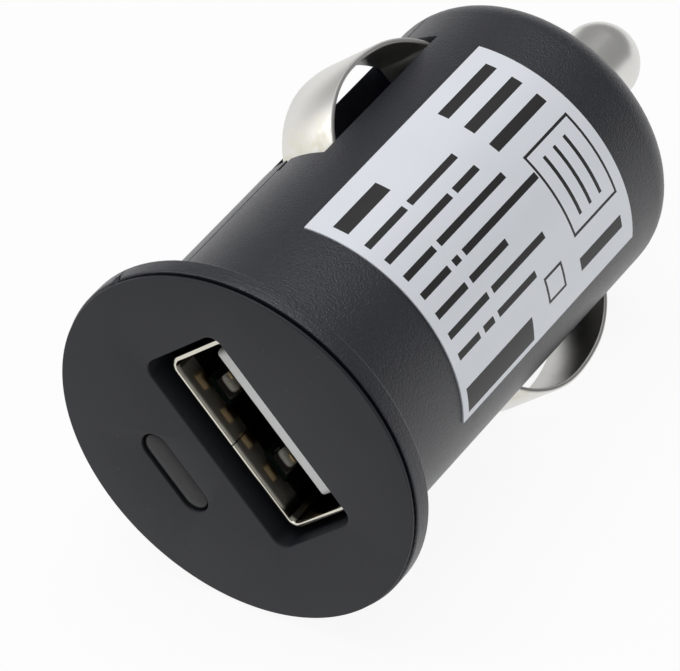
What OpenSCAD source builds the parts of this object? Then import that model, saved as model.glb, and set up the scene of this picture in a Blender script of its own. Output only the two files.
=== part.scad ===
// Charger plug for a car's twelve volt socket, with one USB port in its face.
// Every piece is modelled on the plug's own axis: Z runs from the face to the tip,
// the sprung side contacts lie on X and the label looks along -Y.
// as_it_lies() then lays the plug on its side, on its flange, shoulder and one contact.
// All lengths are in millimetres.

/* [Output] */
// Facets of a full circle
$fn = 96; // [48:8:128]

/* [Flange and face disc] */
// Diameter of the flange that stops the plug in its socket
flange_diameter = 25.4; // [23.5:0.1:28]
// Face to rear of the flange
flange_rear = 1.75; // [1.5:0.05:3]
// Rounding of the flange's edges
flange_edge = 0.2; // [0.1:0.05:0.3]
// Diameter of the face disc
disc_diameter = 25.0; // [23:0.1:27.5]
// Thickness of the face disc at its edge
disc_thickness = 0.6; // [0.5:0.05:0.8]
// Shadow gap between the disc and the flange
shadow_gap = 0.25; // [0.15:0.05:0.35]
// How far the shadow gap reaches in from the disc's edge
shadow_depth = 0.4; // [0.2:0.05:0.8]
// Length of the disc's spigot inside the housing
spigot_length = 1.8; // [1:0.1:3]
// Wall left round the spigot's seat
spigot_wall = 0.9; // [0.7:0.05:1.2]

/* [Barrel] */
// Barrel diameter, a running fit in a car's socket
barrel_diameter = 20.6; // [19:0.1:20.9]
// Face to the rear end of the barrel
barrel_length = 36.1; // [34:0.1:42]
// Rounding of the rear shoulder
shoulder_round = 2.6; // [1:0.1:4]
// Wall of the barrel
barrel_wall = 1.5; // [1.2:0.1:1.8]
// Thickness of the rear end wall
end_wall = 2.0; // [1.5:0.1:3]

// Width of the groove left along the parting line
parting_width = 0.14; // [0.1:0.02:0.2]
// Depth of that groove
parting_depth = 0.1; // [0.06:0.02:0.14]

/* [Side contacts] */
// Width of a side contact
clip_width = 5.0; // [4:0.1:6]
// Sheet thickness of a side contact
clip_sheet = 0.35; // [0.25:0.05:0.5]
// Plug axis to the crown of a side contact
clip_reach = 12.35; // [11.8:0.05:12.8]
// Face to the crown
clip_crown = 24.1; // [23:0.1:26]
// Bow radius ahead of the crown
clip_front_bow = 6.5; // [6:0.1:7.5]
// Bow radius just behind the crown
clip_crown_bow = 11; // [9:0.5:13]
// Share of the drop's turn that the bow just behind the crown takes
clip_crown_share = 0.37; // [0.3:0.01:0.45]
// Bow radius towards the rear end
clip_rear_bow = 7; // [6:0.5:8]
// Straight run towards the axis at the rear end
clip_rear_run = 1.0; // [0.6:0.1:1.4]
// Outer radius of the bends at the feet
clip_bend = 0.6; // [0.5:0.05:0.8]
// Length of the front foot behind the slot's edge
clip_front_foot = 1.6; // [1:0.1:2.2]
// Length of the rear foot behind the slot's edge
clip_rear_foot = 1.4; // [0.8:0.1:2]
// How far a side contact presses in
clip_travel = 1.5; // [1:0.1:1.8]
// Gap between a foot and the wall above it
clip_gap = 0.25; // [0.15:0.05:0.4]
// Width of the slots
slot_width = 6.4; // [5.4:0.1:7]
// Face to the slots' front end
slot_front = 17.2; // [16:0.1:18]
// Face to the slots' rear end
slot_rear = 30.6; // [30:0.1:32]

/* [Tip contact] */
// Diameter of the tip
tip_diameter = 5.4; // [4.5:0.1:6.5]
// Tip standing out of the rear end
tip_proud = 10.3; // [8:0.1:12]
// Sheet thickness of the drawn tip
tip_sheet = 0.4; // [0.3:0.05:0.6]
// Diameter of the tip's collar inside the housing
collar_diameter = 7.8; // [7:0.1:9]
// Gap round the tip in its hole
tip_gap = 0.15; // [0.1:0.05:0.25]
// How far the tip presses in
tip_travel = 2.5; // [1.5:0.1:3]
// Wire of the tip spring
spring_wire = 0.45; // [0.35:0.05:0.5]
// Turns of the tip spring
spring_turns = 10; // [8:1:12]

/* [USB port] */
// Outside width of the metal shell
usb_width = 13.1; // [12.9:0.05:13.4]
// Outside height of the metal shell
usb_height = 5.7; // [5.6:0.05:6]
// Sheet thickness of the shell
usb_sheet = 0.3; // [0.25:0.05:0.35]
// Depth of the shell, mouth to back
usb_depth = 13.9; // [13:0.1:15]
// Face to the shell's mouth
usb_mouth = 1.0; // [0.6:0.05:1.3]
// Offset of the port from the plug's axis, towards the label
usb_offset = 1.5; // [1.2:0.1:1.8]
// Rim of the recess round the shell, across the port
recess_rim_x = 0.67; // [0.4:0.01:0.8]
// Rim of the recess round the shell, along its short side
recess_rim_y = 0.45; // [0.3:0.01:0.6]
// Corner radius of the recess
recess_corner = 1.2; // [0.8:0.1:1.4]
// Corner radius of the shell
usb_corner = 0.9; // [0.7:0.05:1.1]
// Thickness of the tongue
tongue_thickness = 1.84; // [1.7:0.02:2]
// Room beside the tongue inside the shell
tongue_side = 0.7; // [0.5:0.05:0.9]
// Gap between the tongue and the shell above it
tongue_gap = 0.5; // [0.38:0.02:0.6]
// Mouth to the tongue's front
tongue_recess = 0.8; // [0.5:0.05:1.2]
// Length of the insulator's block behind the tongue
block_length = 4.2; // [3.5:0.1:5]
// Width of a port contact
contact_width = 1.0; // [0.8:0.05:1.1]
// Sheet thickness of a port contact
contact_sheet = 0.25; // [0.2:0.05:0.3]
// How far a port contact bows out of the tongue
contact_bow = 0.4; // [0.3:0.05:0.5]
// Spacing of the two inner port contacts
inner_pitch = 2.0; // [2:0.05:2.1]
// Spacing from an inner to an outer port contact
outer_pitch = 2.5; // [2.4:0.05:2.55]

/* [Status lens] */
// Length of the lens
lens_length = 6.0; // [5.4:0.1:7]
// Width of the lens
lens_width = 1.7; // [1.5:0.1:2.2]
// Offset of the lens from the plug's axis
lens_offset = 6.1; // [5.7:0.1:6.4]
// Depth of the lens's edge below the face
lens_recess = 0.25; // [0.1:0.05:0.4]
// Depth of the light guide behind the face
guide_length = 4.0; // [3:0.1:5]
// Diameter of the status lamp
lamp_diameter = 3.0; // [2.8:0.1:3.1]

/* [Circuit board] */
// Thickness of the board
board_thickness = 1.2; // [0.8:0.1:1.6]
// Room between the board's front part and the bore
board_side = 0.5; // [0.3:0.05:0.8]
// Room between the board and a side contact that is pressed in
board_clearance = 0.5; // [0.3:0.05:0.8]
// Face to the board's front edge
board_front = 3.2; // [3:0.1:4]
// Face to the board's step
board_step = 15.4; // [15:0.1:15.6]
// Face to the board's rear edge
board_rear = 29.6; // [29:0.1:30]
// Diameter of the input capacitor, which lies on the board behind the port
input_capacitor_diameter = 8.0; // [6.3:0.1:8.2]
// Length of the input capacitor
input_capacitor_length = 7.6; // [6:0.1:7.8]
// Diameter of the output capacitor, which lies over the port
output_capacitor_diameter = 4.0; // [3:0.1:4.2]
// Length of the output capacitor
output_capacitor_length = 9.0; // [7:0.1:9.5]
// Diameter of the inductor's core
inductor_diameter = 5.0; // [4:0.1:5.2]
// Height of the inductor's core
inductor_height = 4.0; // [3:0.1:4.6]

/* [Label] */
// Length of the label along the barrel
label_length = 20.5; // [15:0.1:22]
// Face to the label's front edge
label_front = 9.5; // [8:0.1:12]
// Angle that the label covers
label_sweep = 96.2; // [80:0.1:110]
// Turn of the label off the middle of its half
label_turn = -4.1; // [-6:0.1:6]
// Thickness of the label
label_thickness = 0.1; // [0.08:0.01:0.15]

/* [Hidden] */

flange_r = flange_diameter / 2;
disc_r = disc_diameter / 2;
barrel_r = barrel_diameter / 2;
bore_r = barrel_r - barrel_wall;
bore_end = barrel_length - end_wall;
flange_front = disc_thickness + shadow_gap;
spigot_r = barrel_r - spigot_wall;
spigot_end = disc_thickness + spigot_length;
fit_gap = 0.1;
cut = 1;
far = 60;

// the port, about its own centre line
port_y = -usb_offset;
shell_back = usb_mouth + usb_depth;
shell_top = port_y - usb_height / 2;
shell_floor = port_y + usb_height / 2;
tongue_top = shell_top + usb_sheet + tongue_gap;
tongue_face = tongue_top + tongue_thickness;
tongue_front = usb_mouth + tongue_recess;
tongue_width = usb_width - 2 * usb_sheet - 2 * tongue_side;
tongue_ease = 0.45;
block_front = shell_back - block_length;
contact_x = [-inner_pitch / 2 - outer_pitch, -inner_pitch / 2,
    inner_pitch / 2, inner_pitch / 2 + outer_pitch];
contact_drop = shell_back + contact_sheet;
contact_groove = tongue_front + 1.1;
contact_crest = tongue_front + 2.1;
contact_toe = 0.3;
crest_round = 1.0;
front_slope = 40;
rear_slope = 10;

// spring tabs in the shell's floor
tab_x = usb_width / 4.5;
tab_width = 1.5;
tab_lead = 1.4;
tab_flat = 0.6;
tab_front = usb_mouth + 1.85;
tab_root = tab_front + 4.8;
tab_slit = 0.35;
tab_bow = 0.55;

// the board lies against the shell's floor
board_y = shell_floor + 0.05;
board_back = board_y + board_thickness;
board_skin = board_y - 0.05;
board_front_x = sqrt(pow(bore_r, 2) - pow(board_back, 2)) - board_side;
solder_tail = 0.9;
lead = 0.5;
lead_hole = 0.8;
contact_hole = 1.1;
leg_room = 0.5;
shell_leg = 1.4;
shell_leg_z = shell_back - 4;

// ribs and ledges that hold the board
rib_width = 1.1;
rib_z = 5.5;
rib_length = 2.0;
ledge_height = 1.6;
ledge_inset = 1.0;

// what stands on the board
lead_run = 0.6;
capacitor_z = board_step + 1.2;
capacitor_lead_z = capacitor_z - lead_run;
input_capacitor_y = board_skin - input_capacitor_diameter / 2;
input_lead_x = 1.75;
output_capacitor_y = shell_top - fit_gap - output_capacitor_diameter / 2;
output_capacitor_z = capacitor_lead_z - 1.2 - output_capacitor_length;
output_lead_x = 0.75;
inductor_z = capacitor_z + input_capacitor_length + inductor_diameter / 2 + 0.15;
inductor_flange = 0.7;
converter_inset = 5.1;
converter_z = board_step + converter_inset;
converter_width = 3.9;
converter_height = 1.4;
converter_length = 4.9;
converter_pitch = 1.27;
leg_width = 0.4;
leg_sheet = 0.2;
leg_reach = 1.05;
leg_step = 0.45;
diode_z = converter_z + 4.7;
diode_width = 4.2;
diode_height = 2.05;
diode_length = 2.6;
diode_stand = 0.15;
diode_lead = 1.4;
diode_reach = 0.5;
lamp_front = guide_length + 0.2;
lamp_body = 4.0;
lamp_lead_x = 1.27;
lamp_lead_z = lamp_front + lamp_body + 1.6;
chip_x = 4.4;
chip_width = 1.2;
chip_length = 2.0;
chip_height = 0.6;
chip_pitch = 3.0;
chip_first = board_step - 2.2;
chip_second = board_step + 2.8;
chip_third = chip_second + chip_pitch;
chip_fourth = chip_third + chip_pitch;

// feet of the side contacts, under the wall at the contact's edges
foot_x = sqrt(pow(bore_r, 2) - pow(clip_width / 2, 2)) - clip_gap;
heel_x = foot_x - clip_sheet + clip_bend;
front_turn = acos((foot_x + clip_bend - (clip_reach - clip_front_bow)) / (clip_front_bow + clip_bend));
rear_drop = clip_reach - (heel_x + clip_rear_run + clip_bend);
crown_turn = clip_crown_share * acos(1 - rear_drop / clip_crown_bow);
rear_bow_x = clip_reach - clip_crown_bow + (clip_crown_bow - clip_rear_bow) * cos(crown_turn);
entry_turn = acos((heel_x + clip_rear_run - rear_bow_x) / (clip_rear_bow - clip_bend));
board_rear_x = foot_x - clip_sheet - clip_travel - board_clearance;

// springs that lead the side contacts' current to the board
ground_sheet = 0.25;
ground_rise = 2.4;
ground_leaf = 1.2;
ground_inset = 5.0;
ground_z = board_rear - ground_inset;
ground_foot_width = 2.2;
ground_foot_length = 2.8;
ground_ramp = 0.6;
ground_tip = 1.2;
ground_end_x = foot_x - clip_sheet - 0.15;
ground_end_z = slot_front;

// the tip: a drawn cup with a collar, held by the end wall
tip_r = tip_diameter / 2;
tip_inner_r = tip_r - tip_sheet;
tip_apex = barrel_length + tip_proud;
dome_z = tip_apex - tip_r;
collar_r = collar_diameter / 2;
collar_front = bore_end - fit_gap - tip_sheet;
tip_hole_r = tip_r + tip_gap;
guide_r = collar_r + 0.3;
guide_wall = 1.1;
tip_ease = 0.3;
guide_front = collar_front - tip_travel;
spring_r = tip_inner_r - 0.15 - spring_wire / 2;
terminal_z = board_rear + 0.05;
terminal_sheet = 0.4;
terminal_width = 6.0;
terminal_height = 3.0;
terminal_tab_width = 3.0;
terminal_tab_length = 2.4;
spring_front = terminal_z + terminal_sheet;
spring_end = dome_z + sqrt(pow(tip_inner_r, 2) - pow(spring_r + spring_wire / 2, 2)) - 0.1;

// how the plug lies: flange edge and rear shoulder on one plane, one contact's corner as the stop
shoulder_z = barrel_length - shoulder_round;
shoulder_r = barrel_r - shoulder_round;
rest_a = shoulder_z - (flange_rear - flange_edge);
rest_b = shoulder_r - (flange_r - flange_edge);
rest_tilt = asin((flange_edge - shoulder_round) / norm([rest_a, rest_b])) - atan2(rest_b, rest_a);
rest_height = shoulder_z * sin(rest_tilt) + shoulder_r * cos(rest_tilt) + shoulder_round;
corner_r = norm([clip_reach, clip_width / 2]);
corner_height = rest_height - clip_crown * sin(rest_tilt);
corner_angle = atan2(clip_width / 2, clip_reach);
rest_spin = 90 - corner_angle - acos(min(1, corner_height / (corner_r * cos(rest_tilt))));
rest_front = flange_edge * cos(rest_tilt) - (disc_r - flange_edge) * sin(rest_tilt) - flange_edge;
rest_back = dome_z * cos(rest_tilt) + tip_r;

// colours
dark_plastic = [0.17, 0.18, 0.2];
nickel = [0.8, 0.79, 0.75];
tin = [0.75, 0.76, 0.77];
board_green = [0.1, 0.35, 0.2];
copper = [0.75, 0.42, 0.22];

module as_it_lies() {
    translate([0, -(rest_front + rest_back) / 2, rest_height])
        rotate([-90 - rest_tilt, 0, 0])
            rotate([0, 0, rest_spin])
                children();
}

// a box from its lowest corner to its highest
module block(from, to) {
    translate(from)
        cube(to - from);
}

module rounded_rect(size, r) {
    inner = [size[0] - 2 * r, size[1] - 2 * r];
    square([size[0], inner[1]], center = true);
    square([inner[0], size[1]], center = true);
    for (x = [-1, 1], y = [-1, 1])
        translate([x * inner[0] / 2, y * inner[1] / 2])
            circle(r, $fn = 24);
}

module obround(length, width) {
    square([length - width, width], center = true);
    for (x = [-1, 1])
        translate([x * (length - width) / 2, 0])
            circle(d = width, $fn = 32);
}

// points of an arc about c, from one angle to another
function arc(c, r, from, to) =
    let (n = max(3, ceil(abs(to - from) / (r > 2 ? 3 : 12))))
    [for (i = [0:n]) c + r * [cos(from + (to - from) * i / n), sin(from + (to - from) * i / n)]];

function reversed(list) = [for (i = [len(list) - 1:-1:0]) list[i]];

// Housing

// half outline of the housing, drawn smaller by inset for the groove of the parting line
module housing_outline(inset = 0) {
    edge = flange_edge - inset;
    // seat of the face disc
    translate([0, disc_thickness])
        square([disc_r - shadow_depth, shadow_gap + flange_edge]);
    // flange with rounded edges
    translate([0, flange_front + inset])
        square([flange_r - flange_edge, flange_rear - flange_front - 2 * inset]);
    translate([0, flange_front + flange_edge])
        square([flange_r - inset, flange_rear - flange_front - 2 * flange_edge]);
    for (z = [flange_front + flange_edge, flange_rear - flange_edge])
        translate([flange_r - flange_edge, z])
            circle(edge, $fn = 24);
    // barrel and rear shoulder
    translate([0, disc_thickness])
        square([barrel_r - inset, shoulder_z - disc_thickness]);
    translate([0, disc_thickness])
        square([shoulder_r, barrel_length - inset - disc_thickness]);
    translate([shoulder_r, shoulder_z])
        circle(shoulder_round - inset);
}

module parting_groove() {
    rotate([90, 0, 0])
        linear_extrude(parting_width, center = true)
            for (side = [0, 1])
                mirror([side, 0])
                    difference() {
                        housing_outline();
                        housing_outline(parting_depth);
                        translate([-cut, -cut])
                            square([disc_r - shadow_depth + cut, flange_front + 2 * cut - flange_edge]);
                    }
}

module housing_bore() {
    square([bore_r, bore_end]);
    square([spigot_r + fit_gap / 2, spigot_end + fit_gap]);
}

module housing_solid() {
    difference() {
        union() {
            rotate_extrude()
                difference() {
                    intersection() {
                        housing_outline();
                        square([far, far]);
                    }
                    housing_bore();
                }
            // guide of the tip's collar inside the end wall
            translate([0, 0, guide_front])
                difference() {
                    cylinder(h = bore_end - guide_front + cut / 2, r = guide_r + guide_wall);
                    translate([0, 0, -cut])
                        cylinder(h = bore_end - guide_front + cut, r = guide_r);
                }
        }
        // hole of the tip, eased at its mouth
        translate([0, 0, bore_end - cut])
            cylinder(h = end_wall + 2 * cut, r = tip_hole_r);
        translate([0, 0, barrel_length - tip_ease])
            cylinder(h = 2 * tip_ease, r1 = tip_hole_r, r2 = tip_hole_r + 2 * tip_ease);
        parting_groove();
        // slots of the side contacts
        for (side = [-1, 1])
            translate([side * barrel_r, 0, (slot_front + slot_rear) / 2])
                cube([2 * barrel_wall + 2 * cut, slot_width, slot_rear - slot_front], center = true);
    }
}

module half_space(side) {
    translate([-far / 2, side > 0 ? 0 : -far, -cut])
        cube([far, far, far + 2 * cut]);
}

module housing_label_half() {
    color(dark_plastic)
        difference() {
            union() {
                intersection() {
                    housing_solid();
                    half_space(-1);
                }
                // ribs that hold the board down
                for (side = [-1, 1])
                    intersection() {
                        translate([side * (usb_width / 2 + 0.35 + rib_width / 2), 0, rib_z])
                            translate([-rib_width / 2, -far / 4, 0])
                                cube([rib_width, far / 4 + board_y - fit_gap / 2, rib_length]);
                        cylinder(h = far, r = bore_r + barrel_wall / 2);
                    }
            }
            // eased edge of the parting line ahead of the slot
            translate([-barrel_r, 0, slot_front])
                rotate([0, 0, 45])
                    cube([0.5, 0.5, 2.6], center = true);
        }
}

module housing_lens_half() {
    color(dark_plastic)
        union() {
            intersection() {
                housing_solid();
                half_space(1);
            }
            // ledges that the board lies on
            for (side = [0, 1])
                mirror([side, 0, 0])
                    intersection() {
                        block([usb_width / 2 + fit_gap / 2, board_back, board_front + ledge_inset],
                            [bore_r, board_back + ledge_height, board_step - ledge_inset]);
                        cylinder(h = far, r = bore_r + barrel_wall / 2);
                    }
        }
}

// Face disc and lens

module face_plate() {
    color(dark_plastic)
        difference() {
            rotate_extrude() {
                translate([0, flange_edge])
                    square([disc_r, disc_thickness - flange_edge]);
                square([disc_r - flange_edge, disc_thickness]);
                intersection() {
                    translate([disc_r - flange_edge, flange_edge])
                        circle(flange_edge, $fn = 24);
                    square([far, far]);
                }
                square([spigot_r, spigot_end]);
            }
            // opening that the port's shell stands in
            translate([0, port_y, -cut])
                linear_extrude(far)
                    rounded_rect([usb_width + 2 * recess_rim_x, usb_height + 2 * recess_rim_y],
                        recess_corner);
            // window of the lens
            translate([0, lens_offset, -cut])
                linear_extrude(far)
                    obround(lens_length + 2 * fit_gap, lens_width + 2 * fit_gap);
        }
}

module status_lens() {
    dome = 0.12;
    dome_r = (pow(lens_width / 2, 2) + pow(dome, 2)) / (2 * dome);
    color([0.25, 0.25, 0.27])
        translate([0, lens_offset, 0])
            union() {
                translate([0, 0, lens_recess])
                    linear_extrude(guide_length - lens_recess)
                        obround(lens_length, lens_width);
                // crowned front
                intersection() {
                    translate([0, 0, lens_recess + dome_r - dome])
                        rotate([0, 90, 0])
                            cylinder(h = lens_length, r = dome_r, center = true);
                    translate([0, 0, lens_recess - dome])
                        linear_extrude(2 * dome)
                            obround(lens_length, lens_width);
                }
            }
}

// USB port

module shell_outline(grow) {
    rounded_rect([usb_width + 2 * grow, usb_height + 2 * grow], usb_corner + grow);
}

module shell_tab() {
    // a spring tab, bowed into the port, from its root towards the mouth
    translate([tab_width / 2, shell_floor - usb_sheet, tab_front])
        rotate([0, -90, 0])
            linear_extrude(tab_width)
                polygon([[0, -0.05], [tab_lead, -tab_bow], [tab_lead + tab_flat, -tab_bow],
                    [tab_root - tab_front, 0], [tab_root - tab_front, usb_sheet],
                    [tab_lead + tab_flat, usb_sheet - tab_bow], [tab_lead, usb_sheet - tab_bow],
                    [0, usb_sheet - 0.05]]);
}

module usb_shell() {
    color(tin)
        union() {
            difference() {
                translate([0, port_y, usb_mouth])
                    linear_extrude(usb_depth)
                        difference() {
                            shell_outline(0);
                            shell_outline(-usb_sheet);
                        }
                // slits round the spring tabs
                for (x = [-tab_x, tab_x])
                    block([x - tab_width / 2 - tab_slit, shell_floor - cut, tab_front - tab_slit],
                        [x + tab_width / 2 + tab_slit, shell_floor + cut, tab_root]);
                // closing seam of the folded sheet
                block([-0.04, shell_floor - cut, usb_mouth - cut],
                    [0.04, shell_floor + cut, shell_back + cut]);
            }
            for (x = [-tab_x, tab_x])
                translate([x, 0, 0])
                    shell_tab();
            // legs soldered into the board
            for (side = [-1, 1])
                translate([side * (usb_width - usb_sheet) / 2 - usb_sheet / 2,
                        shell_floor - usb_corner - 0.4, shell_leg_z])
                    cube([usb_sheet, usb_corner + 0.4 + board_thickness + solder_tail, shell_leg]);
        }
}

// one face of a port contact as [z, y], from its toe over its crest and back along the tongue;
// depth is how far the face lies under the outer one
function contact_face(depth) =
    let (
        r = crest_round - depth,
        crest_c = [contact_crest, tongue_face + contact_bow - crest_round],
        toe = contact_toe * [cos(front_slope), sin(front_slope)],
        rear_run = (crest_c[1] + r * cos(rear_slope) - tongue_face + depth) / sin(rear_slope))
    concat(
        [crest_c + r * [-sin(front_slope), cos(front_slope)] - toe],
        arc(crest_c, r, 90 + front_slope, 90 - rear_slope),
        [crest_c + r * [sin(rear_slope), cos(rear_slope)] + rear_run * [cos(rear_slope), -sin(rear_slope)],
            [contact_drop, tongue_face - depth]]);

module tongue_plan() {
    side = tongue_width / 2;
    polygon([[-side + tongue_ease, tongue_front], [side - tongue_ease, tongue_front],
        [side, tongue_front + tongue_ease], [side, shell_back],
        [-side, shell_back], [-side, tongue_front + tongue_ease]]);
}

module usb_insulator() {
    inner_w = usb_width - 2 * usb_sheet;
    color([0.78, 0.79, 0.78])
        difference() {
            union() {
                // block that closes the shell's back
                translate([0, port_y, block_front])
                    linear_extrude(block_length)
                        rounded_rect([inner_w - 0.1, usb_height - 2 * usb_sheet - 0.1],
                            usb_corner - usb_sheet);
                // tongue: its side outline with an eased front edge, cut to its plan with eased corners
                intersection() {
                    translate([tongue_width / 2, 0, 0])
                        rotate([0, -90, 0])
                            linear_extrude(tongue_width)
                                polygon([[tongue_front, tongue_top + tongue_ease],
                                    [tongue_front + tongue_ease, tongue_top], [shell_back, tongue_top],
                                    [shell_back, tongue_face], [tongue_front + tongue_ease / 2, tongue_face],
                                    [tongue_front, tongue_face - tongue_ease / 2]]);
                    translate([0, tongue_face + cut, 0])
                        rotate([90, 0, 0])
                            linear_extrude(tongue_thickness + 2 * cut)
                                tongue_plan();
                }
            }
            // grooves of the contacts
            for (x = contact_x)
                block([x - contact_width / 2, tongue_face - contact_sheet, contact_groove],
                    [x + contact_width / 2, tongue_face, contact_drop]);
        }
}

module port_contact(place) {
    color([0.85, 0.68, 0.35])
        translate([contact_x[place], 0, 0])
            union() {
                translate([contact_width / 2, 0, 0])
                    rotate([0, -90, 0])
                        linear_extrude(contact_width)
                            polygon(concat(contact_face(0), reversed(contact_face(contact_sheet))));
                // leg down to the board
                block([-contact_width * 0.35, tongue_face - contact_sheet, shell_back],
                    [contact_width * 0.35, board_back + solder_tail, contact_drop]);
            }
}

module usb_contact_power() {
    port_contact(0);
}

module usb_contact_data_minus() {
    port_contact(1);
}

module usb_contact_data_plus() {
    port_contact(2);
}

module usb_contact_ground() {
    port_contact(3);
}

// Side contacts

// one face of the sprung strip, from its front foot to its rear foot; x is the distance from
// the plug's axis, y runs along it, and depth is how far the face lies under the outer one
function clip_face(depth) =
    let (
        bow_c = [clip_reach - clip_front_bow, clip_crown],
        crown_c = [clip_reach - clip_crown_bow, clip_crown],
        rear_c = [rear_bow_x, clip_crown + (clip_crown_bow - clip_rear_bow) * sin(crown_turn)],
        entry_c = rear_c + (clip_rear_bow - clip_bend) * [cos(entry_turn), sin(entry_turn)],
        front_c = bow_c + (clip_front_bow + clip_bend) * [cos(front_turn), -sin(front_turn)],
        rear_z = entry_c[1] + 2 * clip_bend - clip_sheet,
        heel_c = [heel_x, rear_z])
    concat(
        [[foot_x - depth, front_c[1] - clip_front_foot]],
        arc(front_c, clip_bend + depth, 180, 180 - front_turn),
        arc(bow_c, clip_front_bow - depth, -front_turn, 0),
        arc(crown_c, clip_crown_bow - depth, 0, crown_turn),
        arc(rear_c, clip_rear_bow - depth, crown_turn, entry_turn),
        arc(entry_c, clip_bend - depth, entry_turn, 90),
        arc(heel_c, clip_bend - clip_sheet + depth, -90, -180),
        [[foot_x - depth, rear_z + clip_rear_foot]]);

module contact_clip() {
    color(nickel)
        translate([0, clip_width / 2, 0])
            rotate([90, 0, 0])
                linear_extrude(clip_width)
                    polygon(concat(clip_face(0), reversed(clip_face(clip_sheet))));
}

module contact_clip_right() {
    contact_clip();
}

module contact_clip_left() {
    mirror([1, 0, 0])
        contact_clip();
}

// Springs that lead the side contacts' current to the board

module ground_spring() {
    color(nickel)
        union() {
            // foot soldered on the board
            block([board_rear_x - ground_foot_width, board_skin - ground_sheet, ground_z],
                [board_rear_x, board_skin, ground_z + ground_foot_length]);
            // wall that rises from the foot
            block([board_rear_x - ground_sheet, board_skin - ground_rise, ground_z],
                [board_rear_x, board_skin, ground_z + ground_foot_length]);
            // leaf that reaches out to the front foot of the side contact
            translate([0, board_skin - ground_rise + ground_leaf, 0])
                rotate([90, 0, 0])
                    linear_extrude(ground_leaf)
                        polygon([[board_rear_x - ground_sheet, ground_z + ground_ramp],
                            [board_rear_x, ground_z], [ground_end_x, ground_end_z + ground_tip],
                            [ground_end_x, ground_end_z], [ground_end_x - ground_sheet, ground_end_z],
                            [ground_end_x - ground_sheet, ground_end_z + ground_tip]]);
        }
}

module ground_spring_right() {
    ground_spring();
}

module ground_spring_left() {
    mirror([1, 0, 0])
        ground_spring();
}

// Tip contact with its spring

module tip_contact() {
    color(nickel)
        rotate_extrude()
            intersection() {
                difference() {
                    union() {
                        translate([0, collar_front])
                            square([tip_r, dome_z - collar_front]);
                        translate([0, dome_z])
                            circle(tip_r, $fn = 64);
                        translate([0, collar_front])
                            square([collar_r, tip_sheet]);
                    }
                    translate([0, collar_front - cut])
                        square([tip_inner_r, dome_z - collar_front + cut]);
                    translate([0, dome_z])
                        circle(tip_inner_r, $fn = 64);
                }
                translate([0, collar_front - cut])
                    square([far, far]);
            }
}

module tip_spring() {
    // a helix swept along its own points
    steps = 12;
    sides = 5;
    span = spring_end - spring_front - spring_wire;
    function coil(i) = [spring_r * cos(360 * i / steps), spring_r * sin(360 * i / steps),
        spring_front + spring_wire / 2 + span * i / (steps * spring_turns)];
    function ring(i) = [for (k = [0:sides - 1]) coil(i) + spring_wire / 2 * (
        cos(360 * k / sides) * [cos(360 * i / steps), sin(360 * i / steps), 0]
        + sin(360 * k / sides) * [0, 0, 1])];
    count = steps * spring_turns;
    points = [for (i = [0:count]) each ring(i)];
    walls = [for (i = [0:count - 1], k = [0:sides - 1]) [sides * i + k, sides * (i + 1) + k,
        sides * (i + 1) + (k + 1) % sides, sides * i + (k + 1) % sides]];
    first = [[for (k = [0:sides - 1]) k]];
    last = [[for (k = [sides - 1:-1:0]) sides * count + k]];
    color(tin)
        polyhedron(points, concat(first, walls, last), convexity = 10);
}

module spring_terminal() {
    color(nickel)
        union() {
            // plate behind the board's end, with the seat of the spring
            block([-terminal_width / 2, -terminal_height, terminal_z],
                [terminal_width / 2, board_back + terminal_sheet, spring_front]);
            // tab soldered on the board
            block([-terminal_tab_width / 2, board_back, board_rear - terminal_tab_length],
                [terminal_tab_width / 2, board_back + terminal_sheet, terminal_z + terminal_sheet / 2]);
        }
}

// Board and what it carries

module circuit_board() {
    fw = board_front_x;
    rw = board_rear_x;
    color(board_green)
        difference() {
            translate([0, board_back, 0])
                rotate([90, 0, 0])
                    linear_extrude(board_thickness)
                        difference() {
                            polygon([[-fw, board_front], [fw, board_front], [fw, board_step],
                                [rw, board_step], [rw, board_rear], [-rw, board_rear],
                                [-rw, board_step], [-fw, board_step]]);
                            // port contacts
                            for (x = contact_x)
                                translate([x, shell_back + contact_sheet / 2])
                                    circle(d = contact_hole, $fn = 24);
                            // legs of the port's shell
                            for (side = [-1, 1])
                                translate([side * (usb_width - usb_sheet) / 2, shell_leg_z + shell_leg / 2])
                                    square([usb_sheet + leg_room, shell_leg + leg_room], center = true);
                            // leads of the capacitors and the lamp
                            for (x = [input_lead_x, output_lead_x], s = [-1, 1])
                                translate([s * x, capacitor_lead_z])
                                    circle(d = lead_hole, $fn = 24);
                            for (s = [-1, 1])
                                translate([s * lamp_lead_x, lamp_lead_z])
                                    circle(d = lead_hole, $fn = 24);
                        }
        }
}

// a can that lies along z, its leads bent down through the board
module electrolytic(diameter, length, y, z, lead_x) {
    r = diameter / 2;
    groove = 0.35;
    vent = 0.15;
    union() {
        translate([0, y, z])
            rotate_extrude($fn = 64)
                difference() {
                    square([r, length]);
                    // crimp near the leads' end
                    translate([r + 0.1, 1.3])
                        circle(groove, $fn = 16);
                    // hollow of the vented end
                    translate([-groove, length - vent])
                        square([r * 0.75 + groove, 2 * vent]);
                }
        for (s = [-1, 1]) {
            translate([s * lead_x, y, capacitor_lead_z - lead / 2])
                cylinder(h = abs(z - capacitor_lead_z) + lead / 2 + 0.1, d = lead, $fn = 16);
            translate([s * lead_x, y, capacitor_lead_z])
                rotate([-90, 0, 0])
                    cylinder(h = board_back + solder_tail - y, d = lead, $fn = 16);
        }
    }
}

module input_capacitor() {
    color([0.12, 0.14, 0.3])
        electrolytic(input_capacitor_diameter, input_capacitor_length, input_capacitor_y, capacitor_z,
            input_lead_x);
}

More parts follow.
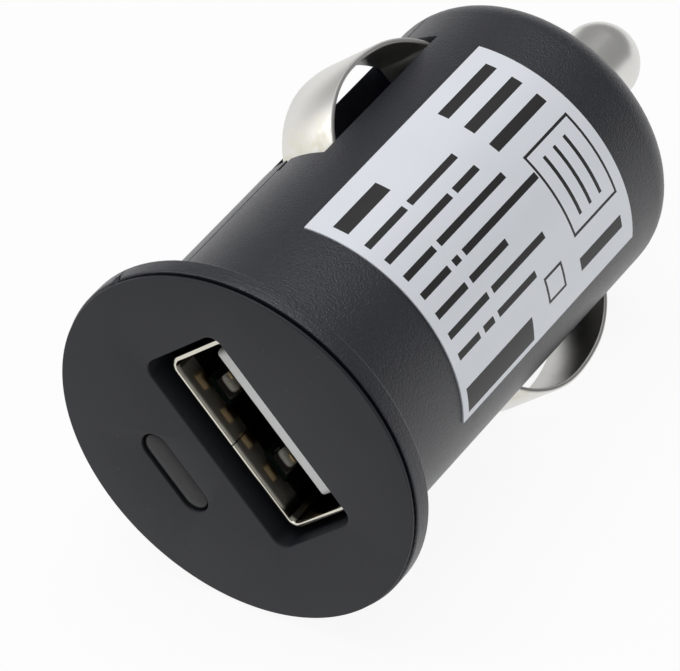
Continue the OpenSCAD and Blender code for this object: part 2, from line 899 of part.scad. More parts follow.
module output_capacitor() {
    // its leads leave the rear end, so the can is turned end for end about them
    color([0.12, 0.14, 0.3])
        translate([0, 0, 2 * capacitor_lead_z])
            mirror([0, 0, 1])
                electrolytic(output_capacitor_diameter, output_capacitor_length, output_capacitor_y,
                    2 * capacitor_lead_z - output_capacitor_z - output_capacitor_length, output_lead_x);
}

module inductor_core() {
    r = inductor_diameter / 2;
    color([0.22, 0.22, 0.23])
        translate([0, board_skin, inductor_z])
            rotate([90, 0, 0])
                rotate_extrude($fn = 48) {
                    square([r, inductor_flange]);
                    square([r * 0.45, inductor_height]);
                    translate([0, inductor_height - inductor_flange])
                        square([r, inductor_flange]);
                }
}

module inductor_winding() {
    r = inductor_diameter / 2;
    wire = 0.35;
    window = inductor_height - 2 * inductor_flange;
    turns = floor(window / wire);
    pitch = window / turns;
    color(copper)
        translate([0, board_skin - inductor_flange, inductor_z])
            rotate([90, 0, 0])
                rotate_extrude($fn = 48) {
                    translate([r * 0.45 + 0.02, 0.02])
                        square([r * 0.4, window - 0.04]);
                    for (i = [0:turns - 1])
                        translate([r * 0.85, pitch * (i + 0.5)])
                            circle(pitch / 2 - 0.01, $fn = 16);
                }
}

module converter_ic() {
    side_x = converter_width / 2;
    toe = side_x + leg_reach;
    color([0.08, 0.08, 0.09])
        union() {
            block([-side_x, board_back + leg_sheet / 2, converter_z - converter_length / 2],
                [side_x, board_back + converter_height, converter_z + converter_length / 2]);
            for (side = [-1, 1], i = [-1.5:1:1.5])
                translate([0, 0, converter_z + i * converter_pitch - leg_width / 2])
                    linear_extrude(leg_width)
                        scale([side, 1])
                            translate([0, board_back])
                                polygon([[side_x - leg_sheet, leg_step + leg_sheet],
                                    [toe - 3 * leg_sheet, leg_step + leg_sheet],
                                    [toe - 2 * leg_sheet, leg_sheet], [toe, leg_sheet], [toe, 0],
                                    [toe - 3 * leg_sheet, 0],
                                    [toe - 4 * leg_sheet, leg_step], [side_x - leg_sheet, leg_step]]);
        }
}

module rectifier_diode() {
    color([0.1, 0.1, 0.11])
        union() {
            block([-diode_width / 2, board_back + diode_stand, diode_z - diode_length / 2],
                [diode_width / 2, board_back + diode_stand + diode_height, diode_z + diode_length / 2]);
            for (side = [-1, 1])
                translate([side * diode_width / 2, 0, 0])
                    block([-diode_reach, board_back, diode_z - diode_lead / 2],
                        [diode_reach, board_back + diode_height / 2, diode_z + diode_lead / 2]);
        }
}

module status_lamp() {
    r = lamp_diameter / 2;
    color([0.85, 0.9, 0.95])
        union() {
            translate([0, lens_offset, lamp_front])
                rotate_extrude($fn = 48) {
                    translate([0, r])
                        square([r, lamp_body - r]);
                    intersection() {
                        translate([0, r])
                            circle(r);
                        square([far, far]);
                    }
                    translate([0, lamp_body - 0.8])
                        square([r + 0.3, 0.8]);
                }
            for (s = [-1, 1]) {
                translate([s * lamp_lead_x, lens_offset, lamp_front + lamp_body - 0.1])
                    cylinder(h = 1.7 + lead / 2, d = lead, $fn = 16);
                translate([s * lamp_lead_x, board_y, lamp_lead_z])
                    rotate([-90, 0, 0])
                        cylinder(h = lens_offset - board_y, d = lead, $fn = 16);
            }
        }
}

module chip_parts() {
    color([0.55, 0.5, 0.45])
        for (x = [-chip_x, chip_x], z = [chip_first, chip_second, chip_third, chip_fourth])
            block([x - chip_width / 2, board_back, z - chip_length / 2],
                [x + chip_width / 2, board_back + chip_height, z + chip_length / 2]);
}

// Label

module rating_label() {
    color([0.8, 0.83, 0.9])
        translate([0, 0, label_front])
            rotate([0, 0, -90 + label_turn - label_sweep / 2])
                rotate_extrude(angle = label_sweep, $fn = 128)
                    translate([barrel_r, 0])
                        square([label_thickness, label_length]);
}

as_it_lies() housing_label_half();
as_it_lies() housing_lens_half();
as_it_lies() face_plate();
as_it_lies() status_lens();
as_it_lies() usb_shell();
as_it_lies() usb_insulator();
as_it_lies() usb_contact_power();
as_it_lies() usb_contact_data_minus();
as_it_lies() usb_contact_data_plus();
as_it_lies() usb_contact_ground();
as_it_lies() circuit_board();
as_it_lies() contact_clip_left();
as_it_lies() contact_clip_right();
as_it_lies() ground_spring_left();
as_it_lies() ground_spring_right();
as_it_lies() tip_contact();
as_it_lies() tip_spring();
as_it_lies() spring_terminal();
as_it_lies() input_capacitor();
as_it_lies() output_capacitor();
as_it_lies() inductor_core();
as_it_lies() inductor_winding();
as_it_lies() converter_ic();
as_it_lies() rectifier_diode();
as_it_lies() status_lamp();
as_it_lies() chip_parts();
as_it_lies() rating_label();
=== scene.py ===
"""A car's usb charger plug, lying on its side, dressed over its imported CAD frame.

Lengths in the part classes are millimetres in the plug's own frame: z runs from the face to the
tip, the side contacts lie on x and the label looks along -y. Bench.place() lays a finished piece
down in the row's frame, in metres. PAST is how far a cutter reaches past what it cuts.
"""

import logging
import math
from dataclasses import dataclass
from enum import Enum
from typing import Optional, Sequence, Union

import bpy
from mathutils import Matrix, Vector


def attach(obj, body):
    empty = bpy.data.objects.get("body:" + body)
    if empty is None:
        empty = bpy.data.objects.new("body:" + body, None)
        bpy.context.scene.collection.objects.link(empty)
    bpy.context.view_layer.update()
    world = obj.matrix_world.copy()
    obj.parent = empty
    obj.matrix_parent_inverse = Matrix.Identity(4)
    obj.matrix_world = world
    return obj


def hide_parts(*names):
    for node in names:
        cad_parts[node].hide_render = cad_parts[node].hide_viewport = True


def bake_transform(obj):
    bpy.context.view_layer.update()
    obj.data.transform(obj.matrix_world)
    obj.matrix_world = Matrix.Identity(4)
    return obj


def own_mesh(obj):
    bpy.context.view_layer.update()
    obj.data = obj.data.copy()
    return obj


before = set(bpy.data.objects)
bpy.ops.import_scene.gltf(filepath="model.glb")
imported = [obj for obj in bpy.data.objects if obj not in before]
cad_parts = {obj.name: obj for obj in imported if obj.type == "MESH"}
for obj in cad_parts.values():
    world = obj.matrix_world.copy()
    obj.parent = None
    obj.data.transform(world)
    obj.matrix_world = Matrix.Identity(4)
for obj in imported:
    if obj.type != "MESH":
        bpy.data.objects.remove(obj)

LOG = logging.getLogger("charger_plug")
MM = 0.001
PAST = 1.0
Point = Sequence[float]
Outline = Sequence[tuple[float, float]]
Colour = tuple[float, float, float]
Piece = bpy.types.Object
Material = bpy.types.Material
Socket = bpy.types.NodeSocket
Inputs = dict[Union[str, int], object]


class Side(Enum):
    """The sides of the two side contacts, with the sign of x there."""

    RIGHT = 1
    LEFT = -1

    def named(self, pattern: str) -> str:
        """Returns the pattern with this side's name in its gap."""
        return pattern.format(self.name.lower())

    def way(self) -> Vector:
        """Returns the direction from the plug's axis to this side."""
        return Vector((self.value, 0, 0))


class Slot(Enum):
    """Material slots of the record."""

    HOUSING = "housing_plastic"
    FACE = "face_plastic"
    LENS = "smoky_lens"
    PORT = "port_steel"
    INSULATOR = "grey_insulator"
    GILT = "gilt_contact"
    BOARD = "board_laminate"
    NICKEL = "nickel_plate"
    SPRING = "spring_steel"
    SLEEVE = "capacitor_sleeve"
    FERRITE = "ferrite"
    COPPER = "copper_wire"
    EPOXY = "black_epoxy"
    CLEAR = "clear_epoxy"
    CHIP = "chip_ceramic"
    LABEL = "label_film"


@dataclass(frozen=True)
class Lie:
    """How the plug lies in the row's frame, as as_it_lies() in the part's source says."""

    tilt: float = math.radians(4.283850)
    spin: float = math.radians(49.469824)
    height: float = 12.780859
    shift: float = 22.679286

    def turn(self) -> Matrix:
        """Returns the turn from the plug's frame to the row's."""
        return Matrix.Rotation(-math.pi / 2 - self.tilt, 4, "X") @ Matrix.Rotation(self.spin, 4, "Z")

    def matrix(self) -> Matrix:
        """Returns the placement of a millimetre drawing in the row's frame."""
        move = Matrix.Translation(Vector((0, -self.shift, self.height)) * MM)
        return move @ self.turn() @ Matrix.Scale(MM, 4)

    def point(self, place: Point) -> Vector:
        """Returns a point of the plug's frame, in millimetres, in the row's frame, in metres."""
        return self.matrix() @ Vector(place)

    def direction(self, way: Point) -> Vector:
        """Returns a direction of the plug's frame in the row's frame."""
        return self.turn().to_3x3() @ Vector(way)


LIE = Lie()
X, Y, Z = Vector((1, 0, 0)), Vector((0, 1, 0)), Vector((0, 0, 1))


class Value:
    """A number that varies over a surface: a socket with Python's operators."""

    def __init__(self, graph: "Graph", socket: Socket) -> None:
        """Keeps the socket and the graph that it belongs to."""
        self.graph = graph
        self.socket = socket

    def __add__(self, other: "Number") -> "Value":
        """Returns self + other."""
        return self.graph.maths("ADD", self, other)

    __radd__ = __add__

    def __sub__(self, other: "Number") -> "Value":
        """Returns self - other."""
        return self.graph.maths("SUBTRACT", self, other)

    def __rsub__(self, other: "Number") -> "Value":
        """Returns other - self."""
        return self.graph.maths("SUBTRACT", other, self)

    def __mul__(self, other: "Number") -> "Value":
        """Returns self * other, which is also "both" for two masks."""
        return self.graph.maths("MULTIPLY", self, other)

    __rmul__ = __mul__

    def __truediv__(self, other: "Number") -> "Value":
        """Returns self / other."""
        return self.graph.maths("DIVIDE", self, other)

    def __pow__(self, power: float) -> "Value":
        """Returns self to a power."""
        return self.graph.maths("POWER", self, power)

    def __gt__(self, other: "Number") -> "Value":
        """Returns a mask of where self is over other."""
        return self.graph.maths("GREATER_THAN", self, other)

    def __lt__(self, other: "Number") -> "Value":
        """Returns a mask of where self is under other."""
        return self.graph.maths("LESS_THAN", self, other)

    def __or__(self, other: "Number") -> "Value":
        """Returns the larger of the two, which is "either" for two masks."""
        return self.graph.maths("MAXIMUM", self, other)

    def __abs__(self) -> "Value":
        """Returns the size of self without its sign."""
        return self.graph.maths("ABSOLUTE", self)

    def floor(self) -> "Value":
        """Returns the whole number below self."""
        return self.graph.maths("FLOOR", self)

    def fraction(self) -> "Value":
        """Returns what is left of self over its whole number."""
        return self.graph.maths("FRACT", self)

    def between(self, low: "Number", high: "Number") -> "Value":
        """Returns a mask of where self lies between low and high."""
        return (self > low) * (self < high)

    def swing(self, amount: float) -> "Value":
        """Returns a noise, which lies about a half, as a change about zero."""
        return (self - 0.5) * amount

    def scaled(self, low: float, high: float, to_low: float, to_high: float) -> "Value":
        """Returns self carried from one range to another, clamped to its ends."""
        settings = {"clamp": True}
        inputs = {"Value": self, "From Min": low, "From Max": high, "To Min": to_low, "To Max": to_high}
        return Value(self.graph, self.graph.node("ShaderNodeMapRange", settings, inputs).outputs[0])


Number = Union[float, Value]


class Graph:
    """A material's nodes, made by one method and joined by expressions."""

    def __init__(self, name: str) -> None:
        """Starts an empty material with its output.

        Args:
            name: The material's name.
        """
        self.material = bpy.data.materials.new(name)
        self.material.use_nodes = True
        self.tree = self.material.node_tree
        self.tree.nodes.clear()
        self.output = self.node("ShaderNodeOutputMaterial", {}, {})

    def node(self, kind: str, settings: dict[str, object], inputs: Inputs) -> bpy.types.Node:
        """Adds a node.

        Args:
            kind: The node's type.
            settings: What is set on the node itself, or "stops" for a ramp's (place, colour) pairs.
            inputs: What each socket gets: a value, a socket, or an expression.

        Returns:
            The node.
        """
        made = self.tree.nodes.new(kind)
        for key, setting in settings.items():
            if key == "stops":
                self._set_stops(made.color_ramp, setting)
            elif key == "interpolation":
                made.color_ramp.interpolation = setting
            else:
                setattr(made, key, setting)
        for key, given in inputs.items():
            socket = made.inputs[key]
            source = given.socket if isinstance(given, Value) else given
            if isinstance(source, Socket):
                self.tree.links.new(source, socket)
            elif socket.type == "RGBA":
                socket.default_value = (*source[:3], 1.0)
            else:
                socket.default_value = source
        return made

    @staticmethod
    def _set_stops(ramp: bpy.types.ColorRamp, stops: Sequence[tuple[float, Colour]]) -> None:
        """Sets a ramp's stops."""
        while len(ramp.elements) < len(stops):
            ramp.elements.new(0.5)
        for element, (place, colour) in zip(ramp.elements, stops):
            element.position = place
            element.color = (*colour, 1.0)

    def maths(self, operation: str, *values: Number) -> Value:
        """Returns a Math node's result as an expression."""
        inputs = dict(enumerate(values))
        return Value(self, self.node("ShaderNodeMath", {"operation": operation}, inputs).outputs[0])

    def mix(self, factor: Number, low: object, high: object) -> Socket:
        """Returns the colour between low and high."""
        inputs = {0: factor, 6: low, 7: high}
        return self.node("ShaderNodeMix", {"data_type": "RGBA"}, inputs).outputs[2]

    def plug_frame(self) -> Socket:
        """Returns the place on the surface in the plug's frame, in millimetres."""
        place = self.node("ShaderNodeTexCoord", {}, {}).outputs["Object"]
        inputs = {
            "Vector": place,
            "Location": LIE.matrix().translation,
            "Rotation": LIE.turn().to_euler(),
            "Scale": (MM, MM, MM),
        }
        return self.node("ShaderNodeMapping", {"vector_type": "TEXTURE"}, inputs).outputs[0]

    def stretched(self, place: Socket, scale: Point) -> Socket:
        """Returns a place scaled along each axis."""
        inputs = {"Vector": place, "Scale": scale}
        return self.node("ShaderNodeMapping", {"vector_type": "POINT"}, inputs).outputs[0]

    def axes(self, place: Socket) -> tuple[Value, Value, Value]:
        """Returns the three parts of a place as expressions."""
        split = self.node("ShaderNodeSeparateXYZ", {}, {0: place})
        return Value(self, split.outputs[0]), Value(self, split.outputs[1]), Value(self, split.outputs[2])

    def noise(self, place: Socket, size: float, detail: float = 2.0, rough: float = 0.5) -> Value:
        """Returns a soft noise whose features are about size wide."""
        inputs = {"Vector": place, "Scale": 1 / size, "Detail": detail, "Roughness": rough}
        return Value(self, self.node("ShaderNodeTexNoise", {}, inputs).outputs[0])

    def pits(self, place: Socket, size: float) -> Value:
        """Returns the distance to the nearest of scattered points about size apart."""
        inputs = {"Vector": place, "Scale": 1 / size}
        return Value(self, self.node("ShaderNodeTexVoronoi", {}, inputs).outputs[0])

    def bump(self, height: Value, depth: float, strength: float = 1.0) -> Socket:
        """Returns the normal of a surface with that relief, depth in millimetres."""
        inputs = {"Height": height, "Distance": depth * MM, "Strength": strength}
        return self.node("ShaderNodeBump", {}, inputs).outputs[0]

    def shade(self, inputs: Inputs) -> Material:
        """Adds the surface shader, joins it to the output and returns the material."""
        shader = self.node("ShaderNodeBsdfPrincipled", {}, inputs)
        self.tree.links.new(shader.outputs[0], self.output.inputs[0])
        return self.material


def tint(colour: Colour, share: float) -> Colour:
    """Returns a colour made darker by a share under 1 or lighter by one over it."""
    return tuple(part * share for part in colour)


@dataclass(frozen=True)
class Finish:
    """A finish whose look changes by the place in the plug's frame."""

    name: str

    def material(self) -> Material:
        """Returns the finish as a material."""
        graph = Graph(self.name)
        return graph.shade(self.surface(graph, graph.plug_frame()))

    def surface(self, graph: Graph, place: Socket) -> Inputs:
        """Says what the surface shader gets.

        Args:
            graph: The material's graph.
            place: The place on the surface in the plug's frame, in millimetres.

        Returns:
            The constant, socket or expression of each of the shader's sockets.
        """
        raise NotImplementedError


@dataclass(frozen=True)
class MouldedPlastic(Finish):
    """Plastic from a spark-eroded mould: a fine grain with a little unevenness over it."""

    colour: Colour
    roughness: float = 0.5
    grain: float = 0.16
    depth: float = 0.012
    mottle: float = 0.18
    dust: float = 0.0
    coat: float = 0.0
    gloss: float = 0.5
    cloud: float = 5.0
    dust_pitch: float = 1.1
    dust_cover: float = 0.6
    dust_colour: Colour = (0.3, 0.32, 0.34)

    def surface(self, graph: Graph, place: Socket) -> Inputs:
        """Returns a mottled colour with specks of dust, and the grain as relief."""
        grain = graph.noise(place, self.grain, detail=3.0, rough=0.6)
        cloud = graph.noise(place, self.cloud)
        dark, light = tint(self.colour, 1 - self.mottle), tint(self.colour, 1 + self.mottle)
        base = graph.mix(cloud * 0.5 + grain * 0.5, dark, light)
        if self.dust:
            speck = graph.pits(place, self.dust_pitch) < self.dust
            base = graph.mix(speck * self.dust_cover, base, self.dust_colour)
        rough = grain.swing(0.16) + cloud.swing(0.08) + self.roughness
        return {"Base Color": base, "Roughness": rough, "Specular IOR Level": self.gloss,
                "Coat Weight": self.coat, "Coat Roughness": 0.3, "Normal": graph.bump(grain, self.depth)}


class Run(Enum):
    """How long a metal's fine lines are along x, y and z of the plug's frame."""

    ALONG = (0.16, 0.16, 6.0)
    ROUND = (6.0, 6.0, 0.1)


@dataclass(frozen=True)
class PlatedMetal(Finish):
    """Plated or drawn sheet metal: fine lines, a soft cloudiness and small stains."""

    colour: Colour
    roughness: float = 0.24
    lines: Run = Run.ALONG
    depth: float = 0.002
    stain: Colour = (0.42, 0.36, 0.26)
    stained: float = 0.15
    cloud: float = 2.6
    cloudy: float = 0.93
    mark: float = 0.7

    def surface(self, graph: Graph, place: Socket) -> Inputs:
        """Returns a clouded and stained metal with drawn lines, changed by what local() says."""
        stretch = [1 / length for length in self.lines.value]
        drawn = graph.noise(graph.stretched(place, stretch), 1.0, detail=3.0, rough=0.6)
        cloud = graph.noise(place, self.cloud)
        marks = graph.noise(place, self.mark, detail=4.0, rough=0.7).scaled(0.58, 0.74, 0.0, 1.0)
        base = graph.mix(cloud, tint(self.colour, self.cloudy), self.colour)
        base = graph.mix(marks * self.stained, base, self.stain)
        base, metal, dull = self.local(graph, place, base)
        rough = drawn.swing(0.08) + cloud.swing(0.06) + marks * 0.08 + self.roughness + dull
        return {"Base Color": base, "Metallic": metal, "Roughness": rough,
                "Normal": graph.bump(drawn, self.depth)}

    def local(self, graph: Graph, place: Socket, base: Socket) -> tuple[Socket, Number, Number]:
        """Changes the look by place, for a kind of plating that needs it.

        Args:
            graph: The material's graph.
            place: The place in the plug's frame.
            base: The colour so far.

        Returns:
            The colour, how much of a metal the surface is there, and its added roughness.
        """
        return base, 1.0, 0.0


@dataclass(frozen=True)
class ContactPlate(PlatedMetal):
    """Satin nickel, dull along the middle of the side contacts' cut edges, yellowed by their feet, and with
    painted shade on the tip.
    """

    leaves_x: float = 7.9
    torn_y: tuple[float, float] = (2.488, 2.498)
    torn: Colour = (0.38, 0.375, 0.37)
    bloom_z: tuple[float, float] = (19.2, 20.8)
    bloom_spot: float = 0.9
    bloom: Colour = (0.80, 0.765, 0.64)
    tip_from: float = 38.0
    # grey that the tip's colour is pulled towards: painted shade
    tip_painted_shade: Colour = (0.3, 0.3, 0.3)

    def local(self, graph: Graph, place: Socket, base: Socket) -> tuple[Socket, Number, Number]:
        """Adds the torn edges and the bloom of the strips outside the housing, and darkens the tip with
        painted shade.
        """
        x, y, z = graph.axes(place)
        outside = abs(x) > self.leaves_x
        spots = graph.noise(place, self.bloom_spot, detail=4.0, rough=0.65).scaled(0.42, 0.6, 0.25, 1.0)
        bloom = z.scaled(*self.bloom_z, 1.0, 0.0) * spots * outside
        edge = abs(y).scaled(*self.torn_y, 0.0, 1.0) * outside
        base = graph.mix(edge, graph.mix(bloom * 0.8, base, self.bloom), self.torn)
        # painted shade: the tip's colour is darkened, standing in for the dark reflections on its dome
        tip = z > self.tip_from
        base = graph.mix(tip * 0.2, base, self.tip_painted_shade)
        return base, 1 - edge * 0.7 - bloom * 0.3, bloom * 0.12 - tip * 0.09


@dataclass(frozen=True)
class PortPlate(PlatedMetal):
    """The port's sheet, bright at its mouth, with a painted highlight on the tabs' noses and painted shade,
    dark and deepening, behind them.
    """

    mouth: tuple[float, float] = (1.12, 1.37)
    slits: tuple[float, float] = (2.5, 2.7)
    end_x: float = 5.7
    end: tuple[float, float] = (1.12, 1.42)
    tab_x: float = 2.911
    nose_x: float = -0.12
    nose_y: tuple[float, float] = (0.2, 1.0)
    nose_z: float = 3.37
    nose_highlight_size: tuple[float, float] = (0.66, 0.44)
    # colour of the painted shade inside the port
    painted_shade_colour: Colour = (0.006, 0.005, 0.004)

    def local(self, graph: Graph, place: Socket, base: Socket) -> tuple[Socket, Number, Number]:
        """Paints shade that darkens the sheet with depth, most behind the tabs' slits and at its ends, and
        keeps a painted highlight on the tabs' noses.
        """
        x, y, z = graph.axes(place)
        # painted highlight: an oval on each tab's nose that the painted shade leaves out
        aside = abs(abs(x - self.nose_x) - self.tab_x) / self.nose_highlight_size[0]
        behind = abs(z - self.nose_z) / self.nose_highlight_size[1]
        nose = (aside ** 4 + behind ** 4).scaled(0.5, 1.2, 0.55, 0.0) * y.between(*self.nose_y)
        # painted shade: darker with depth past the mouth, deepest behind the slits and at the sheet's ends
        depth = z.scaled(*self.mouth, 0.0, 0.78) | z.scaled(*self.slits, 0.0, 0.985)
        depth = depth | (abs(x) > self.end_x) * z.scaled(*self.end, 0.0, 0.95)
        return graph.mix(depth * (1 - nose), base, self.painted_shade_colour), 1.0, nose * 0.2


@dataclass(frozen=True)
class SmokyWindow(Finish):
    """Smoky plastic of the status lens, with the frosting of its back seen through it."""

    name: str = "smoky_window"
    colour: Colour = (0.011, 0.011, 0.012)
    frost: float = 0.5
    grain: float = 0.08
    depth: float = 0.002

    def surface(self, graph: Graph, place: Socket) -> Inputs:
        """Returns a frosted dark plastic under a thin gloss."""
        frost = graph.noise(place, self.frost, detail=4.0, rough=0.6)
        grain = graph.noise(place, self.grain)
        clear = frost.scaled(0.3, 0.7, 0.0, 1.0)
        return {"Base Color": graph.mix(clear, tint(self.colour, 0.75), tint(self.colour, 1.5)),
                "Roughness": frost * 0.12 + 0.3, "Specular IOR Level": 0.3, "Coat Weight": 0.1,
                "Coat Roughness": 0.12, "Normal": graph.bump(grain, self.depth)}


@dataclass(frozen=True)
class PrintedFilm(Finish):
    """Silvery film of the label, printed with plain bars where such a label has its lines.

    Rows of bars run along z at even steps around the barrel. A row is where it ends and where its
    gaps are. A block or frame is where it starts and ends around the barrel, then along z.
    """

    name: str = "printed_label_film"
    film: Colour = (0.89, 0.925, 0.985)
    ink: Colour = (0.012, 0.011, 0.012)
    radius: float = 10.4
    first_row: float = -5.45
    pitch: float = 1.5
    start: float = 10.3
    reach: float = 40.0
    bar: float = 0.245
    gap: float = 0.26
    rows: tuple[tuple[float, float, float], ...] = (
        (20.5, 14.9, 0.0), (20.8, 17.9, 0.0), (21.8, 13.9, 0.0), (23.8, 13.7, 14.9),
        (18.5, 14.0, 0.0), (21.5, 15.1, 0.0), (19.4, 13.0, 14.7))
    blocks: tuple[tuple[float, float, float, float], ...] = (
        (-8.0, -6.9, 10.4, 15.3), (5.75, 7.55, 10.1, 17.9), (5.4, 6.35, 23.8, 28.8),
        (-1.4, 3.0, 25.1, 25.4), (-1.4, 3.0, 26.3, 26.6), (-1.4, 3.0, 27.5, 27.8),
        (-8.2, -7.4, 22.9, 28.7), (-6.3, -5.5, 22.9, 28.7), (-4.4, -3.6, 22.9, 28.7))
    frames: tuple[tuple[float, float, float, float], ...] = (
        (-2.3, 3.9, 23.9, 29.1), (4.3, 6.2, 19.9, 22.0))
    line: float = 0.2
    cloud: float = 6.0
    grain: float = 0.12
    depth: float = 0.0015

    @staticmethod
    def block(around: Value, z: Value, low: float, high: float, front: float, rear: float) -> Value:
        """Returns a mask of one block of the print."""
        return around.between(low, high) * z.between(front, rear)

    def bars(self, graph: Graph, place: Socket) -> Value:
        """Makes the print.

        Args:
            graph: The material's graph.
            place: The place in the plug's frame.

        Returns:
            A mask that is 1 where there is ink.
        """
        x, y, z = graph.axes(place)
        around = graph.maths("ARCTAN2", x, y * -1.0) * self.radius
        row = (around - self.first_row) / self.pitch + 0.5
        number = row.floor()
        count = len(self.rows)
        stops = [(i / count, tuple(spot / self.reach for spot in row)) for i, row in enumerate(self.rows)]
        ramp = graph.node("ShaderNodeValToRGB", {"interpolation": "CONSTANT", "stops": stops},
                          {0: (number + 0.5) / count})
        split = graph.node("ShaderNodeSeparateColor", {}, {0: ramp.outputs[0]})
        end, first, second = (Value(graph, socket) * self.reach for socket in split.outputs[:3])
        ink = (abs(row.fraction() - 0.5) < self.bar / self.pitch) * (abs(z - first) > self.gap)
        ink = ink * (abs(z - second) > self.gap) * z.between(self.start, end)
        ink = ink * number.between(-0.5, count - 0.5)
        for edges in self.blocks:
            ink = ink | self.block(around, z, *edges)
        for low, high, front, rear in self.frames:
            inner = (low + self.line, high - self.line, front + self.line, rear - self.line)
            ink = ink | self.block(around, z, low, high, front, rear) * (1 - self.block(around, z, *inner))
        return ink

    def surface(self, graph: Graph, place: Socket) -> Inputs:
        """Returns a clouded silvery film with matt ink on it."""
        cloud = graph.noise(place, self.cloud)
        grain = graph.noise(place, self.grain)
        film = graph.mix(cloud, tint(self.film, 0.93), self.film)
        ink = self.bars(graph, place)
        return {"Base Color": graph.mix(ink, film, self.ink), "Metallic": (1 - ink) * 0.12,
                "Roughness": grain * 0.08 + ink * 0.1 + 0.3, "Normal": graph.bump(grain, self.depth)}


@dataclass(frozen=True)
class SolderMask(Finish):
    """Green solder mask with the copper runs that show through it and tinned pads."""

    name: str = "solder_mask"
    colour: Colour = (0.003, 0.013, 0.007)
    over_copper: Colour = (0.006, 0.03, 0.013)
    tin: Colour = (0.6, 0.6, 0.62)
    run_pitch: float = 1.1
    pad_pitch: float = 2.54
    patch: float = 3.0
    relief: float = 0.02

    def surface(self, graph: Graph, place: Socket) -> Inputs:
        """Returns the mask with patches of runs along the board and a grid of pads."""
        x, _, z = graph.axes(place)
        patches = graph.noise(place, self.patch, detail=1.0) > 0.42
        runs = (x / self.run_pitch + 0.3).fraction().between(0.3, 0.75) * patches
        pads = (z / self.pad_pitch).fraction().between(0.4, 0.6)
        pads = pads * (x / self.pad_pitch + 0.5).fraction().between(0.38, 0.62)
        base = graph.mix(pads, graph.mix(runs * 0.5, self.colour, self.over_copper), self.tin)
        return {"Base Color": base, "Roughness": 0.45 - pads * 0.15, "Metallic": pads * 0.8,
                "Coat Weight": 0.3, "Normal": graph.bump(runs, self.relief)}


@dataclass(frozen=True)
class ClearEpoxy(Finish):
    """Water-clear epoxy of the lamp, whitish where its frame shows inside."""

    name: str = "clear_epoxy"
    colour: Colour = (0.72, 0.77, 0.82)
    cloud: float = 0.9

    def surface(self, graph: Graph, place: Socket) -> Inputs:
        """Returns a glossy pale body with a cloud in it."""
        cloud = graph.noise(place, self.cloud)
        return {"Base Color": graph.mix(cloud, tint(self.colour, 0.7), self.colour),
                "Roughness": cloud * 0.1 + 0.08, "Coat Weight": 0.5}


def finishes() -> dict[Slot, Material]:
    """Makes every finish once.

    Returns:
        The material of each slot.
    """
    recipes = {
        Slot.HOUSING: MouldedPlastic("housing_grain", (0.0078, 0.0088, 0.0158), roughness=0.35, grain=0.15,
                                     depth=0.055, mottle=0.34, dust=0.03, gloss=0.68),
        Slot.FACE: MouldedPlastic("face_grain", (0.0118, 0.0128, 0.0175), roughness=0.55, grain=0.13,
                                  depth=0.01, mottle=0.12, dust=0.02, gloss=0.42),
        Slot.LENS: SmokyWindow(),
        Slot.PORT: PortPlate("port_sheet", (0.68, 0.655, 0.57), roughness=0.13, depth=0.0008),
        Slot.INSULATOR: MouldedPlastic("insulator_grey", (0.80, 0.81, 0.80), roughness=0.45, grain=0.2,
                                       depth=0.004, mottle=0.05),
        Slot.GILT: PlatedMetal("thin_gilding", (0.80, 0.60, 0.38), roughness=0.42, depth=0.001),
        Slot.BOARD: SolderMask(),
        Slot.NICKEL: ContactPlate("satin_nickel", (0.85, 0.842, 0.81), roughness=0.4, depth=0.0012,
                                  stained=0.06),
        Slot.SPRING: PlatedMetal("spring_wire", (0.62, 0.62, 0.62), roughness=0.3, lines=Run.ROUND,
                                 depth=0.001),
        Slot.SLEEVE: MouldedPlastic("capacitor_sleeve", (0.012, 0.02, 0.09), roughness=0.3, grain=0.6,
                                    depth=0.002, mottle=0.15, coat=0.4),
        Slot.FERRITE: MouldedPlastic("sintered_ferrite", (0.045, 0.045, 0.05), roughness=0.7, grain=0.12,
                                     depth=0.02, mottle=0.3),
        Slot.COPPER: PlatedMetal("enamelled_copper", (0.68, 0.27, 0.12), roughness=0.3, lines=Run.ROUND,
                                 depth=0.001),
        Slot.EPOXY: MouldedPlastic("moulded_epoxy", (0.014, 0.014, 0.016), roughness=0.6, grain=0.1,
                                   depth=0.006, mottle=0.2),
        Slot.CLEAR: ClearEpoxy(),
        Slot.CHIP: MouldedPlastic("chip_body", (0.33, 0.27, 0.2), grain=0.3, depth=0.003, mottle=0.3),
        Slot.LABEL: PrintedFilm(),
    }
    return {slot: recipe.material() for slot, recipe in recipes.items()}


